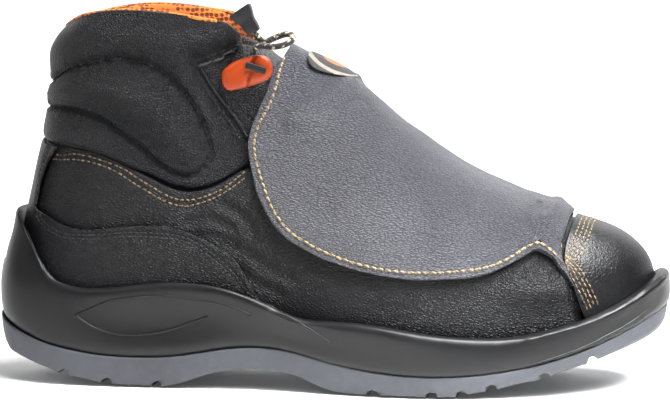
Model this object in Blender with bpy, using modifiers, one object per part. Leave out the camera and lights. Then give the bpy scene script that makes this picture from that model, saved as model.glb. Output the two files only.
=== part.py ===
import math

import bmesh
import bpy
from mathutils import Vector
from mathutils.bvhtree import BVHTree

# A right-foot safety boot with a leather flap over the metatarsals.
# The origin is on the floor under the middle of the boot, +X runs to the
# toe, +Z is up, and the outer (little toe) side of the foot faces -Y.

# Driving sizes, in metres.
LENGTH = 0.305          # sole, heel back to toe tip
COLLAR_HEIGHT = 0.170   # floor to the top of the padded collar
BALL_WIDTH = 0.106      # sole across the ball of the foot
HEEL_WIDTH = 0.0745     # sole across the heel
INSTEP_HEIGHT = 0.151   # floor to the front of the collar
TOE_HEIGHT = 0.075      # floor to the top of the toe cap at its seam
SOLE_HEIGHT = 0.045     # floor to the rim of the midsole beside the heel
ARCH_HEIGHT = 0.0087    # floor to the sole under the arch
TOE_SPRING = 0.030      # floor to the tip of the sole at the toe
OUTSOLE_FLOOR = 0.0055  # thickness of the tread layer under the foot
UPPER_WALL = 0.002      # lining and leather together
LEATHER = 0.0017        # each panel laid over the upper
GUARD_THICKNESS = 0.0028
TONGUE_THICKNESS = 0.004
COLLAR_PADDING = 0.0055
INSOLE_THICKNESS = 0.004
LACE_DIAMETER = 0.0028
LOOP_DIAMETER = 0.0028
GROOVE_WIDTH = 0.0048
GROOVE_DEPTH = 0.0030
LEVER_LENGTH = 0.024
CORD_END_LENGTH = 0.0125
BADGE_WIDTH = 0.022
GAP = 0.0003            # between pieces that touch
SEAT = 0.0005           # between curved panels that lie on each other

HALF = LENGTH / 2
LAYER = LEATHER + SEAT


def clear_scene():
    for old in list(bpy.data.objects):
        bpy.data.objects.remove(old, do_unlink=True)


def step(low, high, value):
    share = min(1.0, max(0.0, (value - low) / (high - low)))
    return share * share * (3 - 2 * share)


def mix(a, b, share):
    return a + (b - a) * share


def along(table, x, column=1):
    """Reads a smooth curve through the rows of a table at x."""
    last = len(table) - 1
    if x <= table[0][0]:
        return table[0][column]
    if x >= table[last][0]:
        return table[last][column]
    k = max(i for i in range(last) if table[i][0] <= x)
    x0, x1 = table[k][0], table[k + 1][0]
    y0, y1 = table[k][column], table[k + 1][column]
    slope = (y1 - y0) / (x1 - x0)

    def tangent(i):
        if i == 0 or i == last:
            return slope
        left = (table[i][column] - table[i - 1][column]) / (table[i][0] - table[i - 1][0])
        right = (table[i + 1][column] - table[i][column]) / (table[i + 1][0] - table[i][0])
        if left * right <= 0:
            return 0.0
        return 2 * left * right / (left + right)

    t = (x - x0) / (x1 - x0)
    m0 = tangent(k) * (x1 - x0)
    m1 = tangent(k + 1) * (x1 - x0)
    return ((2 * t ** 3 - 3 * t ** 2 + 1) * y0 + (t ** 3 - 2 * t ** 2 + t) * m0
            + (3 * t ** 2 - 2 * t ** 3) * y1 + (t ** 3 - t ** 2) * m1)


def spline(rows, t):
    """Smooth values through rows[1] ... rows[-2], the ends are guides."""
    last = len(rows) - 3
    k = min(last - 1, max(0, int(t)))
    s = t - k
    out = []
    for a, b, c, d in zip(rows[k], rows[k + 1], rows[k + 2], rows[k + 3]):
        out.append(0.5 * (2 * b + (c - a) * s + (2 * a - 5 * b + 4 * c - d) * s * s
                          + (3 * b - 3 * c + d - a) * s ** 3))
    return out


# Sole outline. x is a share of half the length, the middle and the half
# width are shares of the local width, which runs from heel to ball.
OUTLINE = [
    (-1.000, 0.000, 0.000),
    (-0.984, 0.000, 0.175),
    (-0.944, 0.000, 0.300),
    (-0.872, 0.000, 0.395),
    (-0.774, 0.000, 0.460),
    (-0.643, 0.000, 0.493),
    (-0.492, 0.000, 0.500),
    (-0.328, 0.000, 0.470),
    (-0.164, -0.004, 0.423),
    (0.000, -0.014, 0.424),
    (0.164, -0.014, 0.465),
    (0.295, -0.006, 0.495),
    (0.426, 0.008, 0.497),
    (0.557, 0.022, 0.477),
    (0.689, 0.036, 0.432),
    (0.800, 0.046, 0.370),
    (0.898, 0.056, 0.276),
    (0.960, 0.060, 0.180),
    (0.990, 0.061, 0.092),
    (1.000, 0.061, 0.000),
]


def local_width(x):
    return mix(HEEL_WIDTH, BALL_WIDTH, step(-0.55 * HALF, 0.15 * HALF, x))


def middle(x):
    table = [(row[0], row[1]) for row in OUTLINE]
    return along(table, x / HALF) * local_width(x)


# Heights along the sole: x share, height.
TREAD = [
    (-1.000, 2.20 * ARCH_HEIGHT),
    (-0.984, 1.85 * ARCH_HEIGHT),
    (-0.944, 1.45 * ARCH_HEIGHT),
    (-0.905, 1.20 * ARCH_HEIGHT),
    (-0.813, 0.69 * ARCH_HEIGHT),
    (-0.748, 0.40 * ARCH_HEIGHT),
    (-0.640, 0.10 * ARCH_HEIGHT),
    (-0.570, 0.0),
    (-0.400, 0.0),
    (-0.385, 0.10 * ARCH_HEIGHT),
    (-0.355, 0.62 * ARCH_HEIGHT),
    (-0.310, 0.86 * ARCH_HEIGHT),
    (-0.165, 1.00 * ARCH_HEIGHT),
    (-0.050, 0.75 * ARCH_HEIGHT),
    (0.000, 0.30 * ARCH_HEIGHT),
    (0.030, 0.0),
    (0.385, 0.0),
    (0.492, 0.10 * TOE_SPRING),
    (0.577, 0.18 * TOE_SPRING),
    (0.662, 0.28 * TOE_SPRING),
    (0.748, 0.42 * TOE_SPRING),
    (0.885, 0.65 * TOE_SPRING),
    (0.964, 0.82 * TOE_SPRING),
    (1.000, 1.00 * TOE_SPRING),
]
# The line between the grey tread and the black midsole, in sole heights.
PARTING = [
    (-1.000, 0.689), (-0.964, 0.600), (-0.905, 0.511), (-0.833, 0.422),
    (-0.761, 0.378), (-0.695, 0.333), (-0.597, 0.311), (-0.505, 0.311),
    (-0.407, 0.333), (-0.315, 0.400), (-0.216, 0.440), (-0.125, 0.440),
    (-0.026, 0.378), (0.052, 0.311), (0.144, 0.267), (0.243, 0.229),
    (0.367, 0.222), (0.485, 0.251), (0.610, 0.318), (0.728, 0.422),
    (0.813, 0.522), (0.905, 0.667), (0.964, 0.778), (1.000, 0.855),
]
# The wavy rim of the midsole: x share, height in sole heights, rim thickness.
RIM = [
    (-0.932, 1.720, 0.0014), (-0.885, 1.700, 0.0018), (-0.866, 1.500, 0.0026),
    (-0.852, 1.290, 0.0034), (-0.820, 1.110, 0.0034), (-0.767, 1.000, 0.0032),
    (-0.695, 0.978, 0.0030), (-0.603, 1.000, 0.0030), (-0.505, 1.044, 0.0030),
    (-0.413, 1.067, 0.0030), (-0.315, 1.044, 0.0032), (-0.216, 0.956, 0.0036),
    (-0.157, 0.889, 0.0042), (-0.092, 0.800, 0.0050), (-0.039, 0.722, 0.0056),
    (0.046, 0.733, 0.0060), (0.144, 0.722, 0.0062), (0.236, 0.680, 0.0062),
    (0.334, 0.625, 0.0062), (0.426, 0.600, 0.0062), (0.518, 0.590, 0.0062),
    (0.603, 0.622, 0.0062), (0.695, 0.700, 0.0062), (0.787, 0.800, 0.0062),
    (0.872, 0.940, 0.0060), (0.931, 1.090, 0.0056), (0.957, 1.205, 0.0052),
]
# The inside floor of the midsole, in sole heights.
FLOOR = [
    (-1.000, 0.467), (-0.400, 0.467), (-0.200, 0.444), (0.000, 0.340),
    (0.130, 0.280), (0.280, 0.260), (0.460, 0.289), (0.655, 0.400),
    (0.787, 0.530), (0.918, 0.675), (1.000, 0.770),
]


def tread_z(x):
    return along(TREAD, x / HALF)


def parting_z(x):
    return along(PARTING, x / HALF) * SOLE_HEIGHT


def rim_z(x):
    return along(RIM, x / HALF) * SOLE_HEIGHT


def floor_z(x):
    return along(FLOOR, x / HALF) * SOLE_HEIGHT


# The outer form of the upper, as sections from the toe, over the instep and
# round the heel to the collar. Each section is a plane from a point on the
# foot line to a point on the ridge line. The columns are the foot point and
# the ridge point (x in half lengths, z in collar heights), the half width
# in ball widths, where it is widest, how square its lower and upper halves
# are, and how far its sides are lifted, in collar heights.
FORM = [
    (0.961, 0.247, 0.961, 0.247, 0.000, 0.40, 2.6, 2.2, 0.0),
    (0.950, 0.165, 0.951, 0.318, 0.090, 0.42, 2.8, 2.2, 0.0),
    (0.921, 0.141, 0.918, 0.368, 0.175, 0.40, 3.0, 2.2, 0.0),
    (0.862, 0.121, 0.856, 0.412, 0.255, 0.38, 3.1, 2.25, 0.0),
    (0.774, 0.100, 0.771, 0.440, 0.325, 0.37, 3.2, 2.3, 0.0),
    (0.662, 0.076, 0.656, 0.470, 0.382, 0.36, 3.2, 2.25, 0.0),
    (0.525, 0.056, 0.518, 0.509, 0.420, 0.34, 3.2, 2.15, 0.0),
    (0.341, 0.047, 0.354, 0.568, 0.443, 0.31, 3.2, 2.0, 0.0),
    (0.131, 0.053, 0.203, 0.650, 0.420, 0.30, 3.2, 1.95, 0.0),
    (-0.098, 0.076, 0.105, 0.725, 0.363, 0.31, 3.3, 1.95, 0.0),
    (-0.361, 0.094, 0.030, 0.779, 0.330, 0.36, 3.5, 2.05, 0.0),
    (-0.623, 0.100, -0.030, 0.806, 0.320, 0.42, 3.5, 2.15, 0.0),
    (-0.813, 0.109, -0.072, 0.822, 0.313, 0.46, 3.0, 2.25, 0.0),
    (-0.902, 0.165, -0.098, 0.832, 0.311, 0.48, 2.6, 2.3, 0.0),
    (-0.927, 0.259, -0.118, 0.841, 0.311, 0.49, 2.35, 2.3, 0.0),
    (-0.926, 0.353, -0.134, 0.849, 0.313, 0.50, 2.25, 2.3, 0.0),
    (-0.902, 0.447, -0.148, 0.855, 0.321, 0.50, 2.25, 2.3, 0.0),
    (-0.877, 0.541, -0.161, 0.862, 0.330, 0.50, 2.25, 2.3, 0.0),
    (-0.855, 0.635, -0.170, 0.868, 0.342, 0.50, 2.3, 2.3, 0.0),
    (-0.844, 0.729, -0.180, 0.874, 0.355, 0.50, 2.35, 2.35, 0.0),
    (-0.829, 0.826, -0.190, 0.881, 0.364, 0.50, 2.4, 2.4, 0.030),
    (-0.792, 0.930, -0.197, 0.888, 0.371, 0.50, 2.4, 2.4, 0.080),
]
LAST = len(FORM) - 1


def ridge_scale(x_share):
    """Height of the ridge line follows the toe height and the instep."""
    toe = TOE_HEIGHT / (0.440 * COLLAR_HEIGHT)
    instep = INSTEP_HEIGHT / (0.888 * COLLAR_HEIGHT)
    return mix(instep, toe, step(0.1, 0.7, x_share))


def form_rows():
    rows = []
    for fx, fz, rx, rz, half, widest, low, high, lift in FORM:
        rows.append((fx * HALF, fz * COLLAR_HEIGHT, rx * HALF,
                     rz * COLLAR_HEIGHT * ridge_scale(rx), half * BALL_WIDTH,
                     widest, low, high, lift * COLLAR_HEIGHT))
    tip, near = rows[0], rows[1]
    before = (near[2], near[3], near[0], near[1], -near[4]) + near[5:]
    end, inner = rows[-1], rows[-2]
    after = tuple(2 * a - b for a, b in zip(end, inner))
    return [before] + rows + [after]


ROWS = form_rows()


def form_point(t, angle, side):
    """A point of the outer form. The angle is 0 at the ridge, 180 below."""
    fx, fz, rx, rz, half, widest, low, high, lift = spline(ROWS, t)
    c = math.cos(math.radians(angle))
    s = max(0.0, math.sin(math.radians(angle)))
    n = high if c >= 0 else low
    up = math.copysign(abs(c) ** (2 / n), c)
    out = s ** (2 / n)
    reach = (1 - widest) if c >= 0 else widest
    share = widest + up * reach
    x = mix(fx, rx, share)
    z = mix(fz, rz, share) + lift * s ** 1.2
    return Vector((x, middle(x) + side * half * out, z))


def skin(t, angle, side, out=0.0):
    """A point of the form moved out along its normal."""
    here = form_point(t, angle, side)
    if t < 0.02:
        return here + Vector((out, 0.0, 0.0))
    t0, t1 = max(0.02, t - 0.05), min(LAST, t + 0.05)
    a0, a1 = max(1.0, angle - 2), min(179.0, angle + 2)
    if a1 - a0 < 1.5:
        a0, a1 = (1.0, 3.0) if angle < 90 else (177.0, 179.0)
    dt = form_point(t1, angle, side) - form_point(t0, angle, side)
    da = form_point(t, a1, side) - form_point(t, a0, side)
    normal = da.cross(dt) * side
    if angle < 1.5 or angle > 178.5:
        normal.y = 0.0
    return here + normal.normalized() * out


# A lookup from the side view to the form: t and angle of the points whose
# x and z are given.
LOOKUP = []
for _k in range(LAST * 6 + 1):
    for _a in range(0, 181, 4):
        _p = form_point(_k / 6, _a, -1)
        LOOKUP.append((_p.x, _p.z, _k / 6, _a))


def locate(x_share, z_share):
    x, z = x_share * HALF, z_share * COLLAR_HEIGHT
    best = min(LOOKUP, key=lambda row: (row[0] - x) ** 2 + (row[1] - z) ** 2)
    t, angle = best[2], float(best[3])
    reach_t, reach_a = 1 / 6, 4.0
    for _ in range(14):
        near = []
        for dt in (-reach_t, 0, reach_t):
            for da in (-reach_a, 0, reach_a):
                tt = min(LAST, max(0.0, t + dt))
                aa = min(180.0, max(0.0, angle + da))
                p = form_point(tt, aa, -1)
                near.append(((p.x - x) ** 2 + (p.z - z) ** 2, tt, aa))
        _, t, angle = min(near)
        reach_t *= 0.62
        reach_a *= 0.62
    return (t, angle)


def ridge(x_share):
    """The place on the ridge line whose x is given."""
    low, high = 0.0, float(LAST)
    for _ in range(30):
        mid = (low + high) / 2
        if form_point(mid, 0, -1).x > x_share * HALF:
            low = mid
        else:
            high = mid
    return (low, 0.0)


def back(z_share):
    """The place on the line of the heel back whose z is given."""
    low, high = 12.5, float(LAST)
    for _ in range(30):
        mid = (low + high) / 2
        if form_point(mid, 180, -1).z < z_share * COLLAR_HEIGHT:
            low = mid
        else:
            high = mid
    return (low, 180.0)


class Line:
    """A smooth line through places on the form, read by its length."""

    def __init__(self, places):
        first = tuple(2 * a - b for a, b in zip(places[0], places[1]))
        final = tuple(2 * a - b for a, b in zip(places[-1], places[-2]))
        rows = [first] + list(places) + [final]
        count = (len(places) - 1) * 12
        self.samples = []
        length = 0.0
        old = None
        for i in range(count + 1):
            t, angle = spline(rows, i / 12)
            t = min(LAST, max(0.0, t))
            angle = min(180.0, max(0.0, angle))
            p = form_point(t, angle, -1)
            if old is not None:
                length += (p - old).length
            old = p
            self.samples.append((length, t, angle))
        self.length = length

    def at(self, share):
        want = share * self.length
        for a, b in zip(self.samples, self.samples[1:]):
            if b[0] >= want:
                s = (want - a[0]) / max(1e-9, b[0] - a[0])
                return (mix(a[1], b[1], s), mix(a[2], b[2], s))
        return self.samples[-1][1:]


def patch(first, second, start=None, end=None):
    """Blends four border lines into a place for each pair of shares."""
    def place(u, v):
        a, b = first.at(u), second.at(u)
        t = mix(a[0], b[0], v)
        angle = mix(a[1], b[1], v)
        for border, weight, e in ((start, 1 - u, 0.0), (end, u, 1.0)):
            if border is None:
                continue
            p, q, r = first.at(e), second.at(e), border.at(v)
            t += weight * (r[0] - mix(p[0], q[0], v))
            angle += weight * (r[1] - mix(p[1], q[1], v))
        return (min(LAST, max(0.0, t)), min(180.0, max(0.0, angle)))
    return place


# Materials and objects.
def material(name, colour, roughness, metallic=0.0):
    mat = bpy.data.materials.new(name)
    mat.use_nodes = True
    shader = mat.node_tree.nodes["Principled BSDF"]
    shader.inputs["Base Color"].default_value = colour + (1.0,)
    shader.inputs["Roughness"].default_value = roughness
    shader.inputs["Metallic"].default_value = metallic
    mat.diffuse_color = colour + (1.0,)
    return mat


clear_scene()
BOOT = bpy.data.collections.new("safety_boot")
bpy.context.scene.collection.children.link(BOOT)
CUTTERS = bpy.data.collections.new("cutters")
bpy.context.scene.collection.children.link(CUTTERS)

LEATHER_BLACK = material("black_leather", (0.022, 0.022, 0.024), 0.42)
LEATHER_GRAIN = material("pebbled_leather", (0.040, 0.040, 0.046), 0.50)
LINING = material("orange_mesh_lining", (0.76, 0.19, 0.02), 0.85)
PADDING = material("collar_leather", (0.024, 0.024, 0.026), 0.48)
MIDSOLE = material("black_polyurethane", (0.018, 0.018, 0.020), 0.40)
TREAD_GREY = material("grey_rubber", (0.10, 0.105, 0.115), 0.60)
FOOTBED = material("footbed_foam", (0.06, 0.06, 0.06), 0.90)
TONGUE_FABRIC = material("tongue_textile", (0.03, 0.03, 0.03), 0.85)
LEVER_ORANGE = material("orange_plastic", (0.80, 0.13, 0.015), 0.35)
PLASTIC_BLACK = material("black_plastic", (0.02, 0.02, 0.02), 0.45)
CORD_FLECK = material("flecked_cord", (0.05, 0.045, 0.03), 0.80)


def publish(name, bm, mat, collection=BOOT, smooth=True):
    mesh = bpy.data.meshes.new(name)
    bmesh.ops.remove_doubles(bm, verts=bm.verts, dist=0.00002)
    flat = [f for f in bm.faces if f.calc_area() < 1e-12]
    bmesh.ops.delete(bm, geom=flat, context="FACES_ONLY")
    bmesh.ops.recalc_face_normals(bm, faces=bm.faces)
    bm.to_mesh(mesh)
    bm.free()
    obj = bpy.data.objects.new(name, mesh)
    mesh.materials.append(mat)
    if smooth:
        mesh.shade_smooth()
        mesh.set_sharp_from_angle(angle=math.radians(38))
    collection.objects.link(obj)
    return obj


def grid_faces(bm, grid):
    """Faces between the rows of a grid of vertices."""
    for row, below in zip(grid, grid[1:]):
        for i in range(len(row) - 1):
            if None in (row[i], row[i + 1], below[i], below[i + 1]):
                continue
            bm.faces.new((row[i], row[i + 1], below[i + 1]))
            bm.faces.new((row[i], below[i + 1], below[i]))


def sheet(name, grid, mat, thickness, inward=False):
    """An open surface through a grid of points, made solid outward."""
    bm = bmesh.new()
    grid_faces(bm, [[bm.verts.new(p) if p else None for p in row] for row in grid])
    obj = publish(name, bm, mat)
    centre = sum((v.co for v in obj.data.vertices), Vector()) / len(obj.data.vertices)
    centre.z = min(centre.z, 0.4 * COLLAR_HEIGHT)
    votes = sum((f.center - centre).dot(f.normal) * f.area for f in obj.data.polygons)
    if votes < 0:
        obj.data.flip_normals()
    solid = obj.modifiers.new("thickness", "SOLIDIFY")
    solid.thickness = thickness
    solid.offset = -1.0 if inward else 1.0
    solid.use_even_offset = False
    return obj


def slab(name, outer, inner, mat):
    """A closed solid between two grids of points of the same size."""
    bm = bmesh.new()
    top = [[bm.verts.new(p) for p in row] for row in outer]
    low = [[bm.verts.new(p) for p in row] for row in inner]
    grid_faces(bm, top)
    grid_faces(bm, low)
    border = (top[0] + [row[-1] for row in top[1:]] + top[-1][-2::-1]
              + [row[0] for row in top[-2:0:-1]])
    under = (low[0] + [row[-1] for row in low[1:]] + low[-1][-2::-1]
             + [row[0] for row in low[-2:0:-1]])
    for i in range(len(border)):
        j = (i + 1) % len(border)
        bm.faces.new((border[i], under[i], under[j], border[j]))
    return publish(name, bm, mat)


def both_sides(place, rows, columns):
    """Places over the outer side, the centre line and the inner side."""
    grid = []
    for i in range(rows + 1):
        line = []
        for j in range(-columns, columns + 1):
            t, angle = place(i / rows, abs(j) / columns)
            line.append((t, angle, -1 if j <= 0 else 1))
        grid.append(line)
    return grid


def surface_of(names):
    """One search tree over the finished faces of some pieces."""
    bpy.context.view_layer.update()
    graph = bpy.context.evaluated_depsgraph_get()
    bm = bmesh.new()
    for name in names:
        ready = bpy.data.objects[name].evaluated_get(graph)
        bm.from_mesh(ready.to_mesh())
        ready.to_mesh_clear()
    tree = BVHTree.FromBMesh(bm)
    bm.free()
    return tree


def settle(places, outs, names, gap, way=1, reach=0.007):
    """Lifts a grid off the pieces below it until each facet clears them.

    With way -1 the grid is pushed in under the pieces above it."""
    tree = surface_of(names)
    base = [[p and skin(*p) for p in row] for row in places]
    normal = [[p and (skin(p[0], p[1], p[2], 0.001) - b).normalized() * way
               for p, b in zip(row, line)] for row, line in zip(places, base)]
    outs = [[o * way for o in row] for row in outs]
    rows, columns = len(places), len(places[0])
    shares = (0.0, 0.25, 0.5, 0.75)
    for _ in range(6):
        points = [[places[i][j] and base[i][j] + normal[i][j] * outs[i][j]
                   for j in range(columns)] for i in range(rows)]
        raised = [[0.0] * columns for _ in range(rows)]
        for i in range(rows - 1):
            for j in range(columns - 1):
                corners = ((i, j), (i + 1, j), (i, j + 1), (i + 1, j + 1))
                if any(places[p][q] is None for p, q in corners):
                    continue
                # The facets are the two triangles on the first diagonal.
                for a in shares + ((1.0,) if i == rows - 2 else ()):
                    for b in shares + ((1.0,) if j == columns - 2 else ()):
                        low, top = min(a, b), max(a, b)
                        weights = (1 - top, max(0.0, a - b), max(0.0, b - a), low)
                        here = Vector()
                        n = Vector()
                        for (p, q), w in zip(corners, weights):
                            here += points[p][q] * w
                            n += normal[p][q] * w
                        n.normalize()
                        hit = tree.ray_cast(here + n * reach, -n, 2 * reach)
                        if hit[0] is None:
                            continue
                        need = gap + reach - hit[3]
                        if need > 0:
                            for (p, q), w in zip(corners, weights):
                                if w > 0:
                                    raised[p][q] = max(raised[p][q], need)
        if max(max(row) for row in raised) < 0.00003:
            break
        for i in range(rows):
            for j in range(columns):
                outs[i][j] += raised[i][j]
    return [[o * way for o in row] for row in outs]


def on_form(places, outs):
    return [[p and skin(p[0], p[1], p[2], o) for p, o in zip(row, line)]
            for row, line in zip(places, outs)]


def panel(name, places, below, mat, start=-LEATHER, gap=GAP):
    """A leather panel of even thickness laid on the pieces below it."""
    outs = settle(places, [[start] * len(row) for row in places], below, gap)
    return sheet(name, on_form(places, outs), mat, LEATHER)


# Upper: one shell from the toe to the collar.
def seam_z(x):
    """Height of the top edge of the quarters, where the padding starts."""
    table = [(-0.90, 0.640), (-0.774, 0.629), (-0.675, 0.622), (-0.597, 0.594),
             (-0.505, 0.553), (-0.439, 0.524), (-0.393, 0.516), (-0.348, 0.518),
             (-0.282, 0.545), (-0.223, 0.582), (-0.150, 0.640)]
    return along(table, x / HALF) * COLLAR_HEIGHT


def facing_x(z):
    """The front line of the padding."""
    table = [(0.50, -0.150), (0.66, -0.210), (0.76, -0.290), (0.853, -0.335), (1.0, -0.350)]
    return along(table, z / COLLAR_HEIGHT) * HALF


def padding(p):
    """Room for the collar padding under a point of the form."""
    above = step(-0.002, 0.016, p.z - seam_z(p.x))
    behind = step(-0.002, 0.016, facing_x(p.z) - p.x)
    return COLLAR_PADDING * above * behind


def upper_depth(t, angle, side):
    return -LAYER - padding(form_point(t, angle, side))


THROAT_START = 6.6
THROAT_HALF = 0.0165


def throat_angle(t):
    """Where the throat opening ends, measured from the ridge."""
    if t <= THROAT_START:
        return 0.0
    want = THROAT_HALF * math.sqrt(min(1.0, (t - THROAT_START) / 1.2))
    want *= mix(1.0, 1.35, step(9, LAST, t))
    low, high = 0.0, 60.0
    for _ in range(24):
        mid = (low + high) / 2
        p = form_point(t, mid, -1)
        if abs(p.y - middle(p.x)) < want:
            low = mid
        else:
            high = mid
    return low


def feather_angle(t):
    """Where the upper ends at the floor of the midsole."""
    angle = 180.0
    while angle > 60:
        p = form_point(t, angle, -1)
        if p.z > floor_z(p.x) + 0.0006 + GAP:
            break
        angle -= 0.5
    return angle if angle < 172 else 180.0


UPPER_STATIONS = [0.0, 0.5, 1, 1.5, 2, 2.6, 3.2, 4, 4.8, 5.6, 6.2, 6.6, 6.8, 7.2, 7.8,
                  8.4, 9, 9.6, 10.2, 10.8, 11.5, 12.2, 12.8, 13.4, 14.2, 15.2, 16.2,
                  17.2, 18, 18.8, 19.6, 20.3, 21]
UPPER_COLUMNS = 10


def upper_row(t, side):
    first, final = throat_angle(t), feather_angle(t)
    samples = []
    length = 0.0
    for i in range(73):
        angle = mix(first, final, i / 72)
        p = form_point(t, angle, side)
        if samples:
            length += (p - samples[-1][2]).length
        samples.append((length, angle, p))
    row = []
    for j in range(UPPER_COLUMNS + 1):
        want = length * j / UPPER_COLUMNS
        for a, b in zip(samples, samples[1:]):
            if b[0] >= want - 1e-9:
                s = (want - a[0]) / max(1e-9, b[0] - a[0])
                angle = mix(a[1], b[1], s)
                break
        row.append(skin(t, angle, side, upper_depth(t, angle, side)))
    return row


def make_upper():
    bm = bmesh.new()
    for side in (-1, 1):
        grid = []
        for t in UPPER_STATIONS:
            grid.append([bm.verts.new(p) for p in upper_row(t, side)])
        grid_faces(bm, grid)
    obj = publish("upper", bm, LINING)
    votes = sum(f.normal.y * (f.center.y - middle(f.center.x)) for f in obj.data.polygons)
    if votes < 0:
        obj.data.flip_normals()
    solid = obj.modifiers.new("wall", "SOLIDIFY")
    solid.thickness = UPPER_WALL
    solid.offset = -1.0
    solid.use_even_offset = False
    return obj


make_upper()


# Leather panels over the upper. Places are given in side view, as shares
# of half the length and of the collar height.
def lower_place(x_share, drop=0.0065):
    """A place inside the midsole rim, below its edge."""
    x = x_share * HALF
    return locate(x_share, (rim_z(x) - drop) / COLLAR_HEIGHT)


def toe_cap():
    seam = Line([ridge(0.728), locate(0.716, 0.425), locate(0.702, 0.352),
                 locate(0.732, 0.285), lower_place(0.782)])
    low = seam.at(1.0)[1]
    tip = Line([(0.45, 0.0), (0.45, 0.35 * low), (0.45, 0.7 * low), (0.45, low)])
    place = patch(tip, seam)
    return panel("toe_cap", both_sides(lambda u, v: place(v, u), 7, 9), ["upper"], LEATHER_BLACK)


def quarters():
    top = Line([back(0.645), locate(-0.800, 0.632), locate(-0.740, 0.628),
                locate(-0.675, 0.622), locate(-0.597, 0.594), locate(-0.505, 0.553),
                locate(-0.439, 0.524), locate(-0.393, 0.516), locate(-0.348, 0.518),
                locate(-0.282, 0.545), locate(-0.205, 0.590), locate(-0.120, 0.560),
                locate(0.030, 0.470), locate(0.230, 0.400), locate(0.420, 0.385),
                locate(0.560, 0.400), locate(0.650, 0.410)])
    low = Line([back(0.225), locate(-0.880, 0.240), lower_place(-0.780), lower_place(-0.600),
                lower_place(-0.400), lower_place(-0.200), lower_place(0.000),
                lower_place(0.200), lower_place(0.400), lower_place(0.600),
                lower_place(0.755)])
    front = Line([low.at(1.0), locate(0.708, 0.280), locate(0.678, 0.345), top.at(1.0)])
    place = patch(low, top, None, front)
    places = both_sides(lambda u, v: place(v, u), 5, 28)
    return panel("quarters", places, ["upper"], LEATHER_BLACK, gap=SEAT)


def heel_counter():
    top = Line([back(0.462), locate(-0.845, 0.462), locate(-0.823, 0.450),
                locate(-0.787, 0.426), locate(-0.741, 0.413), locate(-0.695, 0.411),
                locate(-0.603, 0.423), locate(-0.505, 0.429), locate(-0.413, 0.418),
                locate(-0.348, 0.396), locate(-0.282, 0.363), locate(-0.223, 0.313),
                lower_place(-0.150, 0.003)])
    low = Line([back(0.235), locate(-0.870, 0.240), lower_place(-0.780),
                lower_place(-0.600), lower_place(-0.400), lower_place(-0.165)])
    place = patch(low, top)
    count = 15
    places = both_sides(lambda u, v: place(v, u), 4, count)
    # The backstay, a strip up the heel back to the collar seam.
    strip = 2
    foot = places[-1][count + strip][:2]
    edge = Line([foot, locate(-0.843, 0.524), locate(-0.830, 0.560), locate(-0.806, 0.597),
                 locate(-0.779, 0.628)])
    for i in range(1, 5):
        end = edge.at(i / 4)
        middle_z = mix(0.462, 0.645, i / 4)
        row = []
        for j in range(-count, count + 1):
            share = abs(j) / strip
            if share > 1:
                row.append(None)
                continue
            start = back(middle_z)
            row.append((mix(start[0], end[0], share), mix(start[1], end[1], share),
                        -1 if j <= 0 else 1))
        places.append(row)
    return panel("heel_counter", places, ["quarters"], LEATHER_BLACK, GAP)


def collar():
    low = Line([back(0.662), locate(-0.812, 0.650), locate(-0.740, 0.642),
                locate(-0.675, 0.634), locate(-0.597, 0.606), locate(-0.505, 0.565),
                locate(-0.439, 0.536), locate(-0.393, 0.528), locate(-0.348, 0.530),
                locate(-0.282, 0.557), locate(-0.205, 0.605)])
    first = throat_angle(20.5) + 3.0
    top = Line([(LAST, 180.0), (LAST, 150.0), (LAST, 120.0), (LAST, 90.0), (LAST, 60.0),
                (LAST, first)])
    front = Line([low.at(1.0), locate(-0.165, 0.680), locate(-0.170, 0.760),
                  (19.6, throat_angle(19.6) + 4.0), top.at(1.0)])
    place = patch(low, top, None, front)

    def outside(p, v):
        room = padding(p) / COLLAR_PADDING
        return -0.0008 + 0.0016 * room - 0.0026 * step(0.86, 1.0, v)

    places = both_sides(lambda u, v: place(v, u), 8, 15)
    low = [[-LEATHER - padding(form_point(*p)) for p in row] for row in places]
    low = settle(places, low, ["upper"], GAP)
    high = []
    for i, row in enumerate(places):
        line = []
        for p, under in zip(row, low[i]):
            line.append(max(outside(form_point(*p), i / 8), under + 0.0008))
        high.append(line)
    return slab("collar_padding", on_form(places, high), on_form(places, low), PADDING)


def facing(name, side):
    places = []
    for i in range(9):
        t = mix(7.3, 11.0, i / 8)
        edge = throat_angle(t)
        base = form_point(t, edge, side)
        row = []
        for j in range(3):
            width = 0.013 * j / 2
            angle = edge + 1.0
            while (form_point(t, angle, side) - base).length < width + 0.001:
                angle += 0.5
            row.append((t, angle, side))
        places.append(row)
    return panel(name, places, ["upper"], LEATHER_BLACK)


def tongue():
    places, low, high = [], [], []
    for i in range(17):
        t = mix(6.15, 20.4, i / 16)
        edge = throat_angle(t)
        base = form_point(t, edge, -1)
        limit = edge + 1.0
        while (form_point(t, limit, -1) - base).length < 0.007:
            limit += 0.5
        row, outs, ins = [], [], []
        for j in range(-4, 5):
            angle = limit * abs(j) / 4
            side = -1 if j <= 0 else 1
            p = form_point(t, angle, side)
            inside = (p - form_point(t, edge, side)).length if angle < edge else -0.001
            rise = step(0.001, 0.009, inside) * step(6.9, 7.8, t)
            row.append((t, angle, side))
            outs.append(mix(-LAYER - UPPER_WALL - GAP, 0.0008, rise))
            ins.append(TONGUE_THICKNESS * mix(0.6, 1.2, rise))
        places.append(row)
        high.append(outs)
        low.append(ins)
    high = settle(places, high, ["upper"], 2 * GAP, -1)
    low = [[a - b for a, b in zip(r, q)] for r, q in zip(high, low)]
    return slab("tongue", on_form(places, high), on_form(places, low), TONGUE_FABRIC)


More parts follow.
